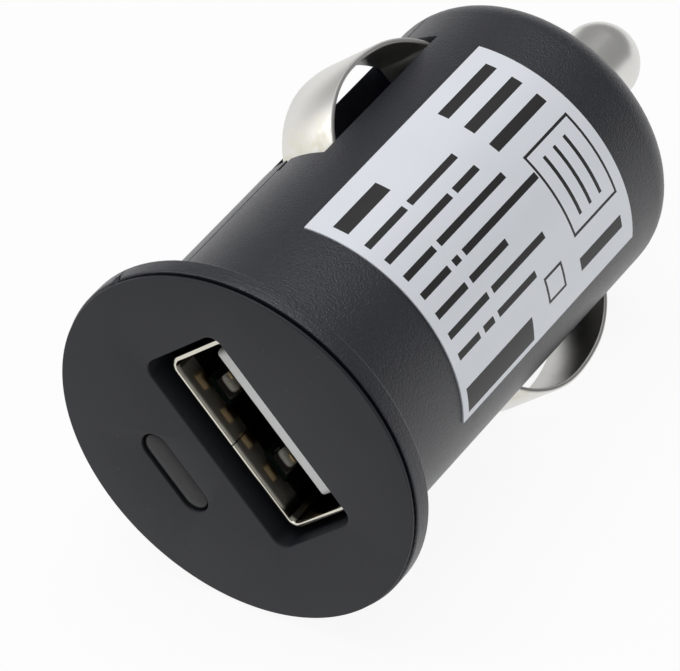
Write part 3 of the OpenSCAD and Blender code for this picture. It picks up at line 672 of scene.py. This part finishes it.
class Bench:
    """The modelling tools. Pieces are drawn in millimetres in the plug's frame, then laid down."""

    doubled: float = 0.0005
    folded: float = math.radians(50)

    def __init__(self, paint: dict[Slot, Material]) -> None:
        """Keeps the finishes.

        Args:
            paint: The material of each slot.
        """
        self.paint = paint

    @staticmethod
    def current() -> Piece:
        """Returns the piece being worked on."""
        return bpy.context.view_layer.objects.active

    @staticmethod
    def pick(*pieces: Piece) -> None:
        """Selects only these pieces, or none; the first becomes the current one."""
        bpy.ops.object.select_all(action="DESELECT")
        for piece in pieces:
            piece.select_set(True)
        if pieces:
            bpy.context.view_layer.objects.active = pieces[0]

    @staticmethod
    def edit() -> None:
        """Enters edit mode with every point selected."""
        bpy.ops.object.mode_set(mode="EDIT")
        bpy.ops.mesh.select_mode(type="VERT")
        bpy.ops.mesh.select_all(action="SELECT")

    @staticmethod
    def leave() -> None:
        """Leaves edit mode."""
        bpy.ops.object.mode_set(mode="OBJECT")

    @classmethod
    def modify(cls, kind: str, **settings: object) -> None:
        """Adds a modifier to the current piece, sets it and applies it."""
        modifier = cls.current().modifiers.new(kind.lower(), kind)
        for key, setting in settings.items():
            setattr(modifier, key, setting)
        bpy.ops.object.modifier_apply(modifier=modifier.name)

    @classmethod
    def cut(cls, piece: Piece, cutter: Piece) -> None:
        """Takes the cutter's form out of the piece and removes the cutter."""
        cls.pick(piece)
        cls.modify("BOOLEAN", operation="DIFFERENCE", object=cutter, solver="EXACT")
        bpy.data.objects.remove(cutter)

    @classmethod
    def join(cls, pieces: Sequence[Piece]) -> Piece:
        """Joins the pieces and returns the first of them, which is then current."""
        cls.pick(*pieces)
        bpy.ops.object.join()
        return pieces[0]

    @classmethod
    def outward(cls) -> Piece:
        """Merges doubled points of the current piece, turns its faces outwards and returns it."""
        cls.edit()
        bpy.ops.mesh.remove_doubles(threshold=cls.doubled)
        bpy.ops.mesh.normals_make_consistent(inside=False)
        cls.leave()
        return cls.current()

    @classmethod
    def point(cls, spot: Point) -> None:
        """Starts a piece as a single point, selected in edit mode."""
        cls.pick()
        bpy.ops.mesh.primitive_plane_add(size=1, location=(0, 0, 0))
        cls.edit()
        bpy.ops.mesh.merge(type="CENTER")
        bpy.ops.transform.translate(value=spot)

    @classmethod
    def lathe(cls, profile: Outline, steps: int) -> Piece:
        """Turns a profile about the plug's axis.

        Args:
            profile: Its points as (radius, z), closed or with both ends on the axis.
            steps: How many steps the turn has.

        Returns:
            The turned piece.
        """
        cls.point((profile[0][0], 0, profile[0][1]))
        for (r0, z0), (r1, z1) in zip(profile, profile[1:]):
            bpy.ops.mesh.extrude_vertices_move(TRANSFORM_OT_translate={"value": (r1 - r0, 0, z1 - z0)})
        bpy.ops.mesh.select_all(action="SELECT")
        bpy.ops.mesh.spin(steps=steps, angle=2 * math.pi, center=(0, 0, 0), axis=(0, 0, 1))
        cls.leave()
        return cls.outward()

    @classmethod
    def prism(cls, width: float, height: float, corner: float, place: Point,
              stations: Outline, segments: int = 6) -> Piece:
        """Draws a rounded rectangle along z.

        Args:
            width: Its size in x.
            height: Its size in y.
            corner: Its corner radius.
            place: The x and y of its middle.
            stations: (z, growth) pairs; growth is how far the outline stands out there.
            segments: Steps of each corner.

        Returns:
            The closed solid.
        """
        cls.pick()
        x, y = place
        last_z, grow = stations[0]
        bpy.ops.mesh.primitive_plane_add(size=1, location=(x, y, last_z))
        cls.edit()
        size = (width + 2 * grow, height + 2 * grow, 1)
        bpy.ops.transform.resize(value=size, center_override=(x, y, last_z))
        bpy.ops.mesh.bevel(offset=corner + grow, segments=segments, profile=0.5, affect="VERTICES")
        bpy.ops.mesh.select_mode(type="FACE")
        bpy.ops.mesh.select_all(action="SELECT")
        for z, growth in stations[1:]:
            bpy.ops.mesh.extrude_region_move(TRANSFORM_OT_translate={"value": (0, 0, z - last_z)})
            new = (width + 2 * growth, height + 2 * growth, 1)
            scale = [wanted / now for wanted, now in zip(new, size)]
            bpy.ops.transform.resize(value=scale, center_override=(x, y, z))
            size, last_z = new, z
        cls.leave()
        return cls.outward()

    @classmethod
    def strip(cls, path: Outline, width: float, sheet: float, soft: float,
              along: tuple[Vector, Vector], across: Vector, middle: Point = (0, 0, 0)) -> Piece:
        """Bends a strip of sheet along a path.

        Args:
            path: Points of one face of the strip, as amounts of the two directions in along.
            width: The strip's width.
            sheet: Its thickness, on one side of the path or, with a minus, on the other.
            soft: How far its edges are rounded.
            along: The two directions that the path is given in.
            across: The direction of its width.
            middle: Where the path's zero and the middle of the width are.

        Returns:
            The strip.
        """
        spots = [Vector(middle) + along[0] * a + along[1] * b for a, b in path]
        cls.point(spots[0] - across * (width / 2))
        bpy.ops.mesh.extrude_vertices_move(TRANSFORM_OT_translate={"value": across * width})
        bpy.ops.mesh.select_all(action="SELECT")
        bpy.ops.mesh.select_mode(type="EDGE")
        for start, stop in zip(spots, spots[1:]):
            bpy.ops.mesh.extrude_region_move(TRANSFORM_OT_translate={"value": stop - start})
        cls.leave()
        cls.modify("SOLIDIFY", thickness=abs(sheet), offset=math.copysign(1.0, sheet), use_even_offset=True)
        cls.outward()
        cls.modify("BEVEL", width=soft, segments=2, limit_method="ANGLE", angle_limit=cls.folded)
        return cls.current()

    @classmethod
    def block(cls, low: Point, high: Point, soft: float = 0.0) -> Piece:
        """Returns a block between two corners, its edges rounded by soft."""
        cls.pick()
        size = Vector(high) - Vector(low)
        middle = (Vector(low) + Vector(high)) / 2
        bpy.ops.mesh.primitive_cube_add(size=1, location=middle)
        cls.edit()
        bpy.ops.transform.resize(value=size, center_override=middle)
        cls.leave()
        if soft:
            cls.modify("BEVEL", width=soft, segments=3)
        return cls.current()

    @classmethod
    def coil(cls, radius: float, wire: float, front: float, rear: float, turns: int) -> Piece:
        """Winds a coil of wire about the plug's axis.

        Args:
            radius: From the axis to the middle of the wire.
            wire: The wire's diameter.
            front: Where the wire's front end has its middle, along z.
            rear: Where its rear end has it.
            turns: How many turns it makes.

        Returns:
            The coil, its ends closed.
        """
        cls.pick()
        bpy.ops.mesh.primitive_circle_add(vertices=12, radius=wire / 2, location=(radius, 0, front),
                                          rotation=(math.pi / 2, 0, 0))
        bpy.ops.object.transform_apply(location=True, rotation=True, scale=True)
        cls.modify("SCREW", axis="Z", steps=32, render_steps=32, iterations=turns,
                   screw_offset=(rear - front) / turns, use_normal_calculate=True)
        cls.edit()
        bpy.ops.mesh.fill_holes(sides=16)
        cls.leave()
        return cls.outward()

    def place(self, piece: Piece, name: str, body: Optional[str], slot: Slot,
              nodes: Sequence[str] = (), smooth: float = 40.0) -> None:
        """Lays a finished piece down, paints it and puts it on its body.

        Args:
            piece: The piece, drawn in millimetres in the plug's frame.
            name: Its name.
            body: The body that it rides on, or none for a piece between two bodies, which then rides on none.
            slot: The slot that it takes its finish from.
            nodes: The CAD nodes that it stands for.
            smooth: The angle, in degrees, under which edges are shaded smooth.
        """
        self.pick(piece)
        bpy.ops.object.transform_apply(location=True, rotation=True, scale=True)
        piece.matrix_world = LIE.matrix()
        bpy.ops.object.transform_apply(location=True, rotation=True, scale=True)
        bpy.ops.object.shade_smooth_by_angle(angle=math.radians(smooth))
        piece.name = name
        piece.data.name = name
        piece.data.materials.clear()
        piece.data.materials.append(self.paint[slot])
        if body:
            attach(piece, body)
        if nodes:
            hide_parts(*nodes)
        LOG.info("%s rides on %s and has %d faces", name, body or "two bodies", len(piece.data.polygons))

    def dress(self, nodes: Sequence[str], slot: Slot) -> None:
        """Gives CAD nodes a finish.

        Args:
            nodes: The nodes.
            slot: The slot whose finish they get.
        """
        for name in nodes:
            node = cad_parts[name]
            for place in node.material_slots:
                place.material = self.paint[slot]
            LOG.info("%s keeps its CAD mesh and gets %s", name, self.paint[slot].name)


def arc(centre: Point, radius: float, start: float, stop: float, steps: int) -> list[tuple[float, float]]:
    """Returns points of an arc, angles in degrees, both ends included."""
    turns = [math.radians(start + (stop - start) * i / steps) for i in range(steps + 1)]
    return [(centre[0] + radius * math.cos(t), centre[1] + radius * math.sin(t)) for t in turns]


def eased(path: Outline, ease: float, steps: int = 5) -> list[tuple[float, float]]:
    """Rounds the corners of a path.

    Args:
        path: Its points.
        ease: How far from a corner its rounding starts.
        steps: Steps of each rounding.

    Returns:
        The points of the rounded path.
    """
    rounded = [tuple(path[0])]
    for before, corner, after in zip(path, path[1:], path[2:]):
        corner = Vector(corner)
        start = corner + (Vector(before) - corner).normalized() * ease
        stop = corner + (Vector(after) - corner).normalized() * ease
        for step in range(steps + 1):
            share = step / steps
            spot = start * (1 - share) ** 2 + corner * (2 * share * (1 - share)) + stop * share ** 2
            rounded.append((spot.x, spot.y))
    return rounded + [tuple(path[-1])]


@dataclass
class Housing:
    """The two moulded halves, with the label on one of them."""

    halves: tuple[str, str] = ("housing_label_half", "housing_lens_half")
    label: str = "rating_label"

    def build(self, bench: Bench) -> None:
        """Dresses the halves and the label."""
        bench.dress(self.halves, Slot.HOUSING)
        bench.dress([self.label], Slot.LABEL)


@dataclass
class Face:
    """The face disc with the port's opening, the flange's front lip, and the status lens."""

    steps: int = 160
    smooth: float = 35.0
    radius: float = 12.56
    edge: float = 0.06
    rim: float = 0.2
    rim_back: float = 0.32
    neck: float = 12.2
    thickness: float = 0.6
    spigot_radius: float = 9.4
    spigot_end: float = 2.4
    lip: tuple[float, float] = (0.42, 1.0)
    lip_radius: float = 12.7
    lip_proud: float = 0.004
    lip_ease: float = 0.1
    lip_tuck: float = 0.02
    lip_gap: float = 0.05
    parting: float = 0.14
    notch: tuple[float, float] = (1.02, 1.04)
    notch_shift: tuple[float, float] = (0.32, -0.12)
    port: Point = (-0.08, -1.3)
    opening: tuple[float, float] = (14.38, 7.0)
    opening_corner: float = 0.9
    flare: float = 0.12
    lens_place: Point = (-0.08, 6.0)
    lens: tuple[float, float] = (5.8, 1.9)
    lens_recess: float = 0.2
    lens_flare: float = 0.08
    guide_end: float = 4.0
    crown: Outline = (
        (-0.05, 0.0), (0.01, 0.05), (0.05, 0.14), (0.09, 0.3), (0.115, 0.52), (0.12, 0.74))
    gap: float = 0.1
    corner_slack: float = 0.001

    def flared(self, flare: float) -> list[tuple[float, float]]:
        """Returns the stations of a cutter through the disc with a rounded mouth at z = 0."""
        mouth = arc((flare, flare), flare, 180, 270, 5)
        return [(self.spigot_end + PAST, 0.0), *((z, growth) for growth, z in mouth), (-PAST, flare)]

    def disc(self, bench: Bench) -> None:
        """Builds the disc."""
        rim = arc((self.radius - self.edge, self.edge), self.edge, -90, 0, 5)
        profile = [(0, 0), *rim, (self.radius, self.rim), (self.neck, self.rim_back),
                   (self.neck, self.thickness), (self.spigot_radius, self.thickness),
                   (self.spigot_radius, self.spigot_end), (0, self.spigot_end)]
        disc = bench.lathe(profile, self.steps)
        bench.cut(disc, bench.prism(*self.opening, self.opening_corner, self.port, self.flared(self.flare)))
        width, height = (size + 2 * self.gap for size in self.lens)
        bench.cut(disc, bench.prism(width, height, height / 2 - self.corner_slack, self.lens_place,
                                    self.flared(self.lens_flare), 12))
        bench.place(disc, "face_disc", "plug", Slot.FACE, ["face_plate"], self.smooth)

    def flange_lip(self, bench: Bench) -> None:
        """Builds the flange's front lip, parted and eased where the two halves meet."""
        front, rear = self.lip
        inner = self.neck + self.lip_gap
        rim = arc((self.lip_radius - self.lip_ease, front + self.lip_ease), self.lip_ease, -90, 0, 4)
        profile = [(inner, front), *rim, (self.lip_radius + self.lip_proud, rear - self.lip_tuck),
                   (self.lip_radius - self.lip_tuck, rear), (inner, rear), (inner, front)]
        lip = bench.lathe(profile, self.steps)
        line = self.parting / 2
        deep, wide = (size / 2 for size in self.notch)
        for side in (Side.LEFT, Side.RIGHT):
            x = side.value * self.lip_radius
            bench.cut(lip, bench.block((x - PAST, -line, 0), (x + PAST, line, rear + PAST)))
            wedge = bench.block((x - deep, -wide, -PAST), (x + deep, wide, rear + PAST))
            bench.pick(wedge)
            bpy.ops.transform.rotate(value=math.radians(45), orient_axis="Z", center_override=(x, 0, 0))
            out, down = self.notch_shift
            bpy.ops.transform.translate(value=(side.value * out, down, 0))
            bench.cut(lip, wedge)
        bench.place(lip, "flange_lip", "plug", Slot.HOUSING, smooth=self.smooth)

    def window(self, bench: Bench) -> None:
        """Builds the status lens with its crowned front."""
        front = [(self.lens_recess - rise, -inward) for rise, inward in self.crown]
        stations = [(self.guide_end, 0), *front]
        lens = bench.prism(*self.lens, self.lens[1] / 2 - self.corner_slack, self.lens_place, stations, 12)
        bench.place(lens, "status_window", "plug", Slot.LENS, ["status_lens"], smooth=50)

    def build(self, bench: Bench) -> None:
        """Builds the disc, the lip around it and the lens."""
        self.disc(bench)
        self.flange_lip(bench)
        self.window(bench)


@dataclass
class SideContact:
    """A sprung side contact: one strip, bowed out through its slot, with a foot at each end."""

    reach: float = 12.35
    crown: float = 24.1
    width: float = 5.0
    sheet: float = 0.35
    front_bow: float = 6.5
    crown_bow: float = 11.0
    crown_share: float = 0.37
    rear_bow: float = 7.0
    rear_run: float = 1.0
    bend: float = 0.6
    front_foot: float = 1.6
    rear_foot: float = 1.4
    bore: float = 8.8
    gap: float = 0.25
    soft: float = 0.12

    def path(self) -> list[tuple[float, float]]:
        """Returns the outer face's points as (x, z), from the front foot to the rear one."""
        foot = math.sqrt(self.bore ** 2 - (self.width / 2) ** 2) - self.gap
        heel_x = foot - self.sheet + self.bend
        bow = (self.reach - self.front_bow, self.crown)
        front = math.degrees(math.acos((foot + self.bend - bow[0]) / (self.front_bow + self.bend)))
        first = arc(bow, self.front_bow + self.bend, -front, 0, 1)[0]
        drop = self.reach - (heel_x + self.rear_run + self.bend)
        turn = self.crown_share * math.degrees(math.acos(1 - drop / self.crown_bow))
        crown = (self.reach - self.crown_bow, self.crown)
        rear = arc(crown, self.crown_bow - self.rear_bow, 0, turn, 1)[1]
        entry = math.degrees(math.acos((heel_x + self.rear_run - rear[0]) / (self.rear_bow - self.bend)))
        last = arc(rear, self.rear_bow - self.bend, 0, entry, 1)[1]
        rear_z = last[1] + 2 * self.bend - self.sheet
        return [(foot, first[1] - self.front_foot), *arc(first, self.bend, 180, 180 - front, 8),
                *arc(bow, self.front_bow, -front, 0, 26)[1:], *arc(crown, self.crown_bow, 0, turn, 6)[1:],
                *arc(rear, self.rear_bow, turn, entry, 14)[1:], *arc(last, self.bend, entry, 90, 6)[1:],
                *arc((heel_x, rear_z), self.bend - self.sheet, -90, -180, 4)[1:],
                (foot, rear_z + self.rear_foot)]

    def build(self, bench: Bench, side: Side) -> None:
        """Builds the contact on one side.

        Args:
            bench: The modelling tools.
            side: The side that it is on.
        """
        strip = bench.strip(self.path(), self.width, side.value * self.sheet, self.soft, (side.way(), Z), Y)
        bench.place(strip, side.named("{}_contact_strip"), side.named("{}_contact"), Slot.NICKEL,
                    [side.named("contact_clip_{}")])


@dataclass
class GroundLeaf:
    """The leaf that leads a side contact's current to the board."""

    sheet: float = 0.25
    wall_x: float = 5.837
    foot: float = 2.2
    skin_y: float = 1.35
    rise: float = 2.4
    middle_z: float = 26.0
    length: float = 2.8
    leaf_width: float = 1.2
    reach_x: float = 7.687
    reach_z: float = 17.2
    toe: float = 1.2
    root_z: float = 24.9
    foot_ease: float = 0.35
    leaf_ease: float = 0.5
    soft: float = 0.04

    def build(self, bench: Bench, side: Side) -> None:
        """Builds the leaf on one side.

        Args:
            bench: The modelling tools.
            side: The side of the contact that it touches.
        """
        x = side.way()
        top = self.skin_y - self.rise
        sheet = -side.value * self.sheet
        bracket = eased([(self.wall_x - self.foot, self.skin_y), (self.wall_x, self.skin_y),
                         (self.wall_x, top)], self.foot_ease)
        foot = bench.strip(bracket, self.length, sheet, self.soft, (x, Y), Z, (0, 0, self.middle_z))
        run = eased([(self.wall_x, self.middle_z), (self.wall_x, self.root_z),
                     (self.reach_x, self.reach_z + self.toe), (self.reach_x, self.reach_z)], self.leaf_ease)
        leaf = bench.strip(run, self.leaf_width, sheet, self.soft, (x, Z), Y,
                           (0, top + self.leaf_width / 2, 0))
        whole = bench.join([foot, leaf])
        bench.place(whole, side.named("ground_leaf_{}"), None, Slot.NICKEL, [side.named("ground_spring_{}")])
        root = x * self.wall_x + Y * top + Z * self.root_z
        toe = x * self.reach_x + Y * top + Z * (self.reach_z + self.toe)
        LIE.point(root)
        LIE.point(toe)
        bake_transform(whole)


@dataclass
class Port:
    """The port: its folded shell, the insulator with its tongue, and the four contacts."""

    width: float = 13.1
    height: float = 5.7
    sheet: float = 0.3
    corner: float = 0.9
    middle_y: float = -1.5
    mouth: float = 1.0
    back: float = 14.9
    tab_x: float = 2.911
    tab_width: float = 1.5
    tab_front: float = 2.85
    tab_root: float = 7.65
    tab_bow: float = 0.55
    tab_nose: tuple[float, float] = (0.62, 1.6)
    tab_tilt: float = 0.08
    tab_lap: float = 0.1
    tab_ease: float = 0.22
    tab_soft: float = 0.05
    slit: float = 0.35
    lip_share: float = 0.3
    lip_turn: float = 0.3
    seam: float = 0.08
    seam_depth: float = 0.7
    leg_z: tuple[float, float] = (10.9, 12.3)
    leg_lap: float = 0.4
    leg_end: float = 3.5
    leg_soft: float = 0.08
    tongue_width: float = 11.1
    tongue_top: float = -3.55
    tongue_face: float = -1.71
    tongue_front: float = 1.8
    tongue_corner: float = 0.16
    tongue_nose: Outline = ((0.42, 0.0), (0.24, 0.04), (0.1, 0.13), (0.02, 0.26), (0.0, 0.42))
    block_clear: float = 0.05
    block_front: float = 10.7
    block_ease: float = 0.06
    root: float = 0.1
    contact_x: tuple[float, ...] = (-3.5, -1.0, 1.0, 3.5)
    contact_width: float = 1.0
    contact_sheet: float = 0.25
    contact_ease: float = 0.12
    contact_soft: float = 0.04
    crest: float = 3.9
    crest_run: tuple[float, float, float, float] = (-0.65, -0.05, 0.3, 2.35)
    sunk: float = 0.03
    bow: float = 0.5
    groove: float = 2.9
    groove_over: float = 0.2

    def shell(self, bench: Bench) -> None:
        """Builds the shell with its tabs, its seam and its legs."""
        floor = self.middle_y + self.height / 2
        inner = floor - self.sheet
        place = (0, self.middle_y)
        lip = self.sheet * self.lip_share
        turned = lip * self.lip_turn
        mouth = [(self.mouth + lip, 0), (self.mouth + turned, turned), (self.mouth, lip)]
        shell = bench.prism(self.width, self.height, self.corner, place,
                            [(self.back, 0), *((z, -growth) for z, growth in mouth)])
        wall = 2 * self.sheet
        bench.cut(shell, bench.prism(self.width - wall, self.height - wall, self.corner - self.sheet, place,
                                     [(self.back + PAST, 0), *mouth, (self.mouth - PAST, lip)]))
        pieces = [shell]
        half = self.tab_width / 2 + self.slit
        nose, heel = (self.tab_front + run for run in self.tab_nose)
        bent = eased([(self.tab_front, inner - self.tab_tilt), (nose, inner - self.tab_bow),
                      (heel, inner - self.tab_bow), (self.tab_root + self.tab_lap, inner)], self.tab_ease)
        for x in (-self.tab_x, self.tab_x):
            bench.cut(shell, bench.block((x - half, floor - PAST, self.tab_front - self.slit),
                                         (x + half, floor + PAST, self.tab_root)))
            pieces.append(bench.strip(bent, self.tab_width, -self.sheet, self.tab_soft, (Z, Y), X, (x, 0, 0)))
        line = self.seam / 2
        bench.cut(shell, bench.block((-line, floor - self.seam_depth, 0),
                                     (line, floor + PAST, self.back + PAST)))
        side = self.width / 2
        for low, high in ((-side, self.sheet - side), (side - self.sheet, side)):
            pieces.append(bench.block((low, floor - self.corner - self.leg_lap, self.leg_z[0]),
                                      (high, self.leg_end, self.leg_z[1]), self.leg_soft))
        bench.place(bench.join(pieces), "port_shell", "plug", Slot.PORT, ["usb_shell"])

    def insulator(self, bench: Bench) -> None:
        """Builds the insulator: the block at the back and the tongue with its grooves."""
        clear = 2 * (self.sheet + self.block_clear)
        ease = self.block_ease
        block = bench.prism(self.width - clear, self.height - clear, self.corner - self.sheet,
                            (0, self.middle_y),
                            [(self.back, 0), (self.block_front + ease, 0), (self.block_front, -ease)])
        nose = [(self.tongue_front + back, -inward) for back, inward in self.tongue_nose]
        tongue = bench.prism(self.tongue_width, self.tongue_face - self.tongue_top, self.tongue_corner,
                             (0, (self.tongue_face + self.tongue_top) / 2),
                             [(self.block_front + self.root, 0), *nose])
        half = self.contact_width / 2
        low = self.tongue_face - self.contact_sheet
        cuts = ((tongue, self.groove_over, self.block_front + PAST), (block, 0.0, self.back + PAST))
        for x in self.contact_x:
            for part, rise, rear in cuts:
                bench.cut(part, bench.block((x - half, low, self.groove),
                                            (x + half, self.tongue_face + rise, rear)))
        bench.place(bench.join([block, tongue]), "port_insulator", "plug", Slot.INSULATOR, ["usb_insulator"])

    def contact(self, bench: Bench, x: float, node: str) -> None:
        """Builds one contact, bowed out of the tongue and bent down to the board behind it."""
        start, rise, fall, stop = (self.crest + run for run in self.crest_run)
        face, back = self.tongue_face, self.back + self.contact_sheet
        path = eased([(start, face - self.sunk), (rise, face + self.bow), (fall, face + self.bow),
                      (stop, face), (back, face), (back, self.leg_end)], self.contact_ease)
        strip = bench.strip(path, self.contact_width, self.contact_sheet, self.contact_soft, (Z, Y), X,
                            (x, 0, 0))
        bench.place(strip, node.replace("usb_", "port_"), "plug", Slot.GILT, [node])

    def build(self, bench: Bench) -> None:
        """Builds the port."""
        self.shell(bench)
        self.insulator(bench)
        kinds = ("power", "data_minus", "data_plus", "ground")
        for x, kind in zip(self.contact_x, kinds):
            self.contact(bench, x, "usb_contact_" + kind)


@dataclass
class Tip:
    """The drawn tip with its collar, and the coil spring inside it."""

    steps: int = 96
    radius: float = 2.7
    sheet: float = 0.4
    collar_radius: float = 3.9
    collar_front: float = 33.6
    collar_ease: float = 0.2
    dome_z: float = 43.7
    spring_wire: float = 0.45
    spring_front: float = 30.05
    spring_turns: int = 10
    spring_gap: float = 0.15
    spring_seat: float = 0.1
    travel: float = 2.5

    def build(self, bench: Bench) -> None:
        """Builds the tip and its spring."""
        inner = self.radius - self.sheet
        ease = self.collar_ease
        collar_back = self.collar_front + self.sheet
        profile = [(inner, self.collar_front), (self.collar_radius, self.collar_front),
                   (self.collar_radius, collar_back),
                   *arc((self.radius + ease, collar_back + ease), ease, -90, -180, 3),
                   *arc((0, self.dome_z), self.radius, 0, 90, 20),
                   *arc((0, self.dome_z), inner, 90, 0, 16), (inner, self.collar_front)]
        tip = bench.lathe(profile, self.steps)
        bench.place(tip, "sprung_tip", "tip", Slot.NICKEL, ["tip_contact"])
        outer = inner - self.spring_gap
        half = self.spring_wire / 2
        end = self.dome_z + math.sqrt(inner ** 2 - outer ** 2) - self.spring_seat
        coil = bench.coil(outer - half, self.spring_wire, self.spring_front + half, end - half,
                          self.spring_turns)
        bench.place(coil, "tip_coil", "plug", Slot.SPRING, ["tip_spring"], smooth=60)
        LIE.direction(Z)
        LIE.point(Z * self.spring_front)
        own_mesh(coil)


@dataclass
class Inside:
    """What the slots and the port show of the inside."""

    kept: tuple[tuple[Slot, tuple[str, ...]], ...] = (
        (Slot.BOARD, ("circuit_board",)), (Slot.NICKEL, ("spring_terminal",)),
        (Slot.SLEEVE, ("input_capacitor", "output_capacitor")), (Slot.FERRITE, ("inductor_core",)),
        (Slot.COPPER, ("inductor_winding",)), (Slot.EPOXY, ("converter_ic", "rectifier_diode")),
        (Slot.CLEAR, ("status_lamp",)), (Slot.CHIP, ("chip_parts",)))

    def build(self, bench: Bench) -> None:
        """Dresses the board and what stands on it."""
        for slot, nodes in self.kept:
            bench.dress(nodes, slot)


@dataclass(frozen=True)
class Softbox:
    """A soft rectangular lamp: where it hangs, its size and its power."""

    name: str
    place: Point
    size: tuple[float, float]
    power: float

    def hang(self, aim: Point) -> None:
        """Adds the lamp, turned towards aim."""
        bpy.ops.object.light_add(type="AREA", location=self.place)
        lamp = bpy.context.object
        lamp.name = self.name
        lamp.data.shape = "RECTANGLE"
        lamp.data.size, lamp.data.size_y = self.size
        lamp.data.energy = self.power
        lamp.rotation_euler = (Vector(aim) - Vector(self.place)).to_track_quat("-Z", "Y").to_euler()


@dataclass
class Studio:
    """Floor, lamps and the camera at the photograph's viewing angle, in metres in the row's frame."""

    camera_place: Point = (0.16513747, -0.23723661, 0.27777114)
    right: Point = (0.84795386, 0.52395627, -0.08027516)
    down: Point = (0.31331008, -0.61757805, -0.72141121)
    sensor: float = 36.0
    pixels: float = 680.0
    focal_pixels: float = 6277.175
    clip: tuple[float, float] = (0.01, 20.0)
    floor_size: float = 6.0
    floor_colour: Colour = (0.9, 0.9, 0.9)
    glow: float = 0.92
    air: float = 0.35
    aim: Point = (0, 0, 0.01)
    lamps: tuple[Softbox, ...] = (Softbox("overhead_softbox", (-0.05, 0.05, 0.5), (0.5, 0.4), 1.4),
                                  Softbox("left_softbox", (-0.45, -0.2, 0.25), (0.3, 0.3), 0.65))

    def camera(self) -> None:
        """Sets up the camera."""
        bpy.ops.object.camera_add()
        camera = bpy.context.object
        right, up = Vector(self.right), -Vector(self.down)
        turn = Matrix((right, up, right.cross(up))).transposed().to_4x4()
        camera.matrix_world = Matrix.Translation(self.camera_place) @ turn
        camera.data.sensor_width = self.sensor
        camera.data.lens = self.focal_pixels / self.pixels * self.sensor
        camera.data.clip_start, camera.data.clip_end = self.clip
        bpy.context.scene.camera = camera

    def floor(self) -> None:
        """Lays the pale floor, which shows near white and keeps the plug's shadow."""
        Bench.pick()
        bpy.ops.mesh.primitive_plane_add(size=self.floor_size, location=(0, 0, 0))
        floor = Bench.current()
        floor.name = "floor"
        graph = Graph("pale_floor")
        rays = graph.node("ShaderNodeLightPath", {}, {})
        seen = Value(graph, rays.outputs["Is Camera Ray"]) | Value(graph, rays.outputs["Is Glossy Ray"])
        seen = seen | Value(graph, rays.outputs["Is Transmission Ray"])
        matt = graph.node("ShaderNodeBsdfDiffuse", {}, {"Color": self.floor_colour})
        glow = graph.node("ShaderNodeEmission", {}, {"Color": (1, 1, 1), "Strength": 1.0})
        parts = {0: seen * self.glow, 1: matt.outputs[0], 2: glow.outputs[0]}
        both = graph.node("ShaderNodeMixShader", {}, parts)
        graph.tree.links.new(both.outputs[0], graph.output.inputs[0])
        floor.data.materials.append(graph.material)

    def build(self) -> None:
        """Builds the whole studio."""
        scene = bpy.context.scene
        scene.view_settings.view_transform = "Standard"
        world = bpy.data.worlds.new("studio_air")
        scene.world = world
        world.use_nodes = True
        air = world.node_tree.nodes["Background"]
        air.inputs[0].default_value = (1, 1, 1, 1)
        air.inputs[1].default_value = self.air
        self.floor()
        for lamp in self.lamps:
            lamp.hang(self.aim)
        self.camera()


def main() -> None:
    """Builds the plug and its studio."""
    logging.basicConfig(level=logging.INFO, format="%(name)s: %(message)s")
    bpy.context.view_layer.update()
    bench = Bench(finishes())
    Housing().build(bench)
    Face().build(bench)
    Port().build(bench)
    for part in (SideContact(), GroundLeaf()):
        for side in Side:
            part.build(bench, side)
    Tip().build(bench)
    Inside().build(bench)
    Studio().build()


if __name__ == "__main__":
    main()
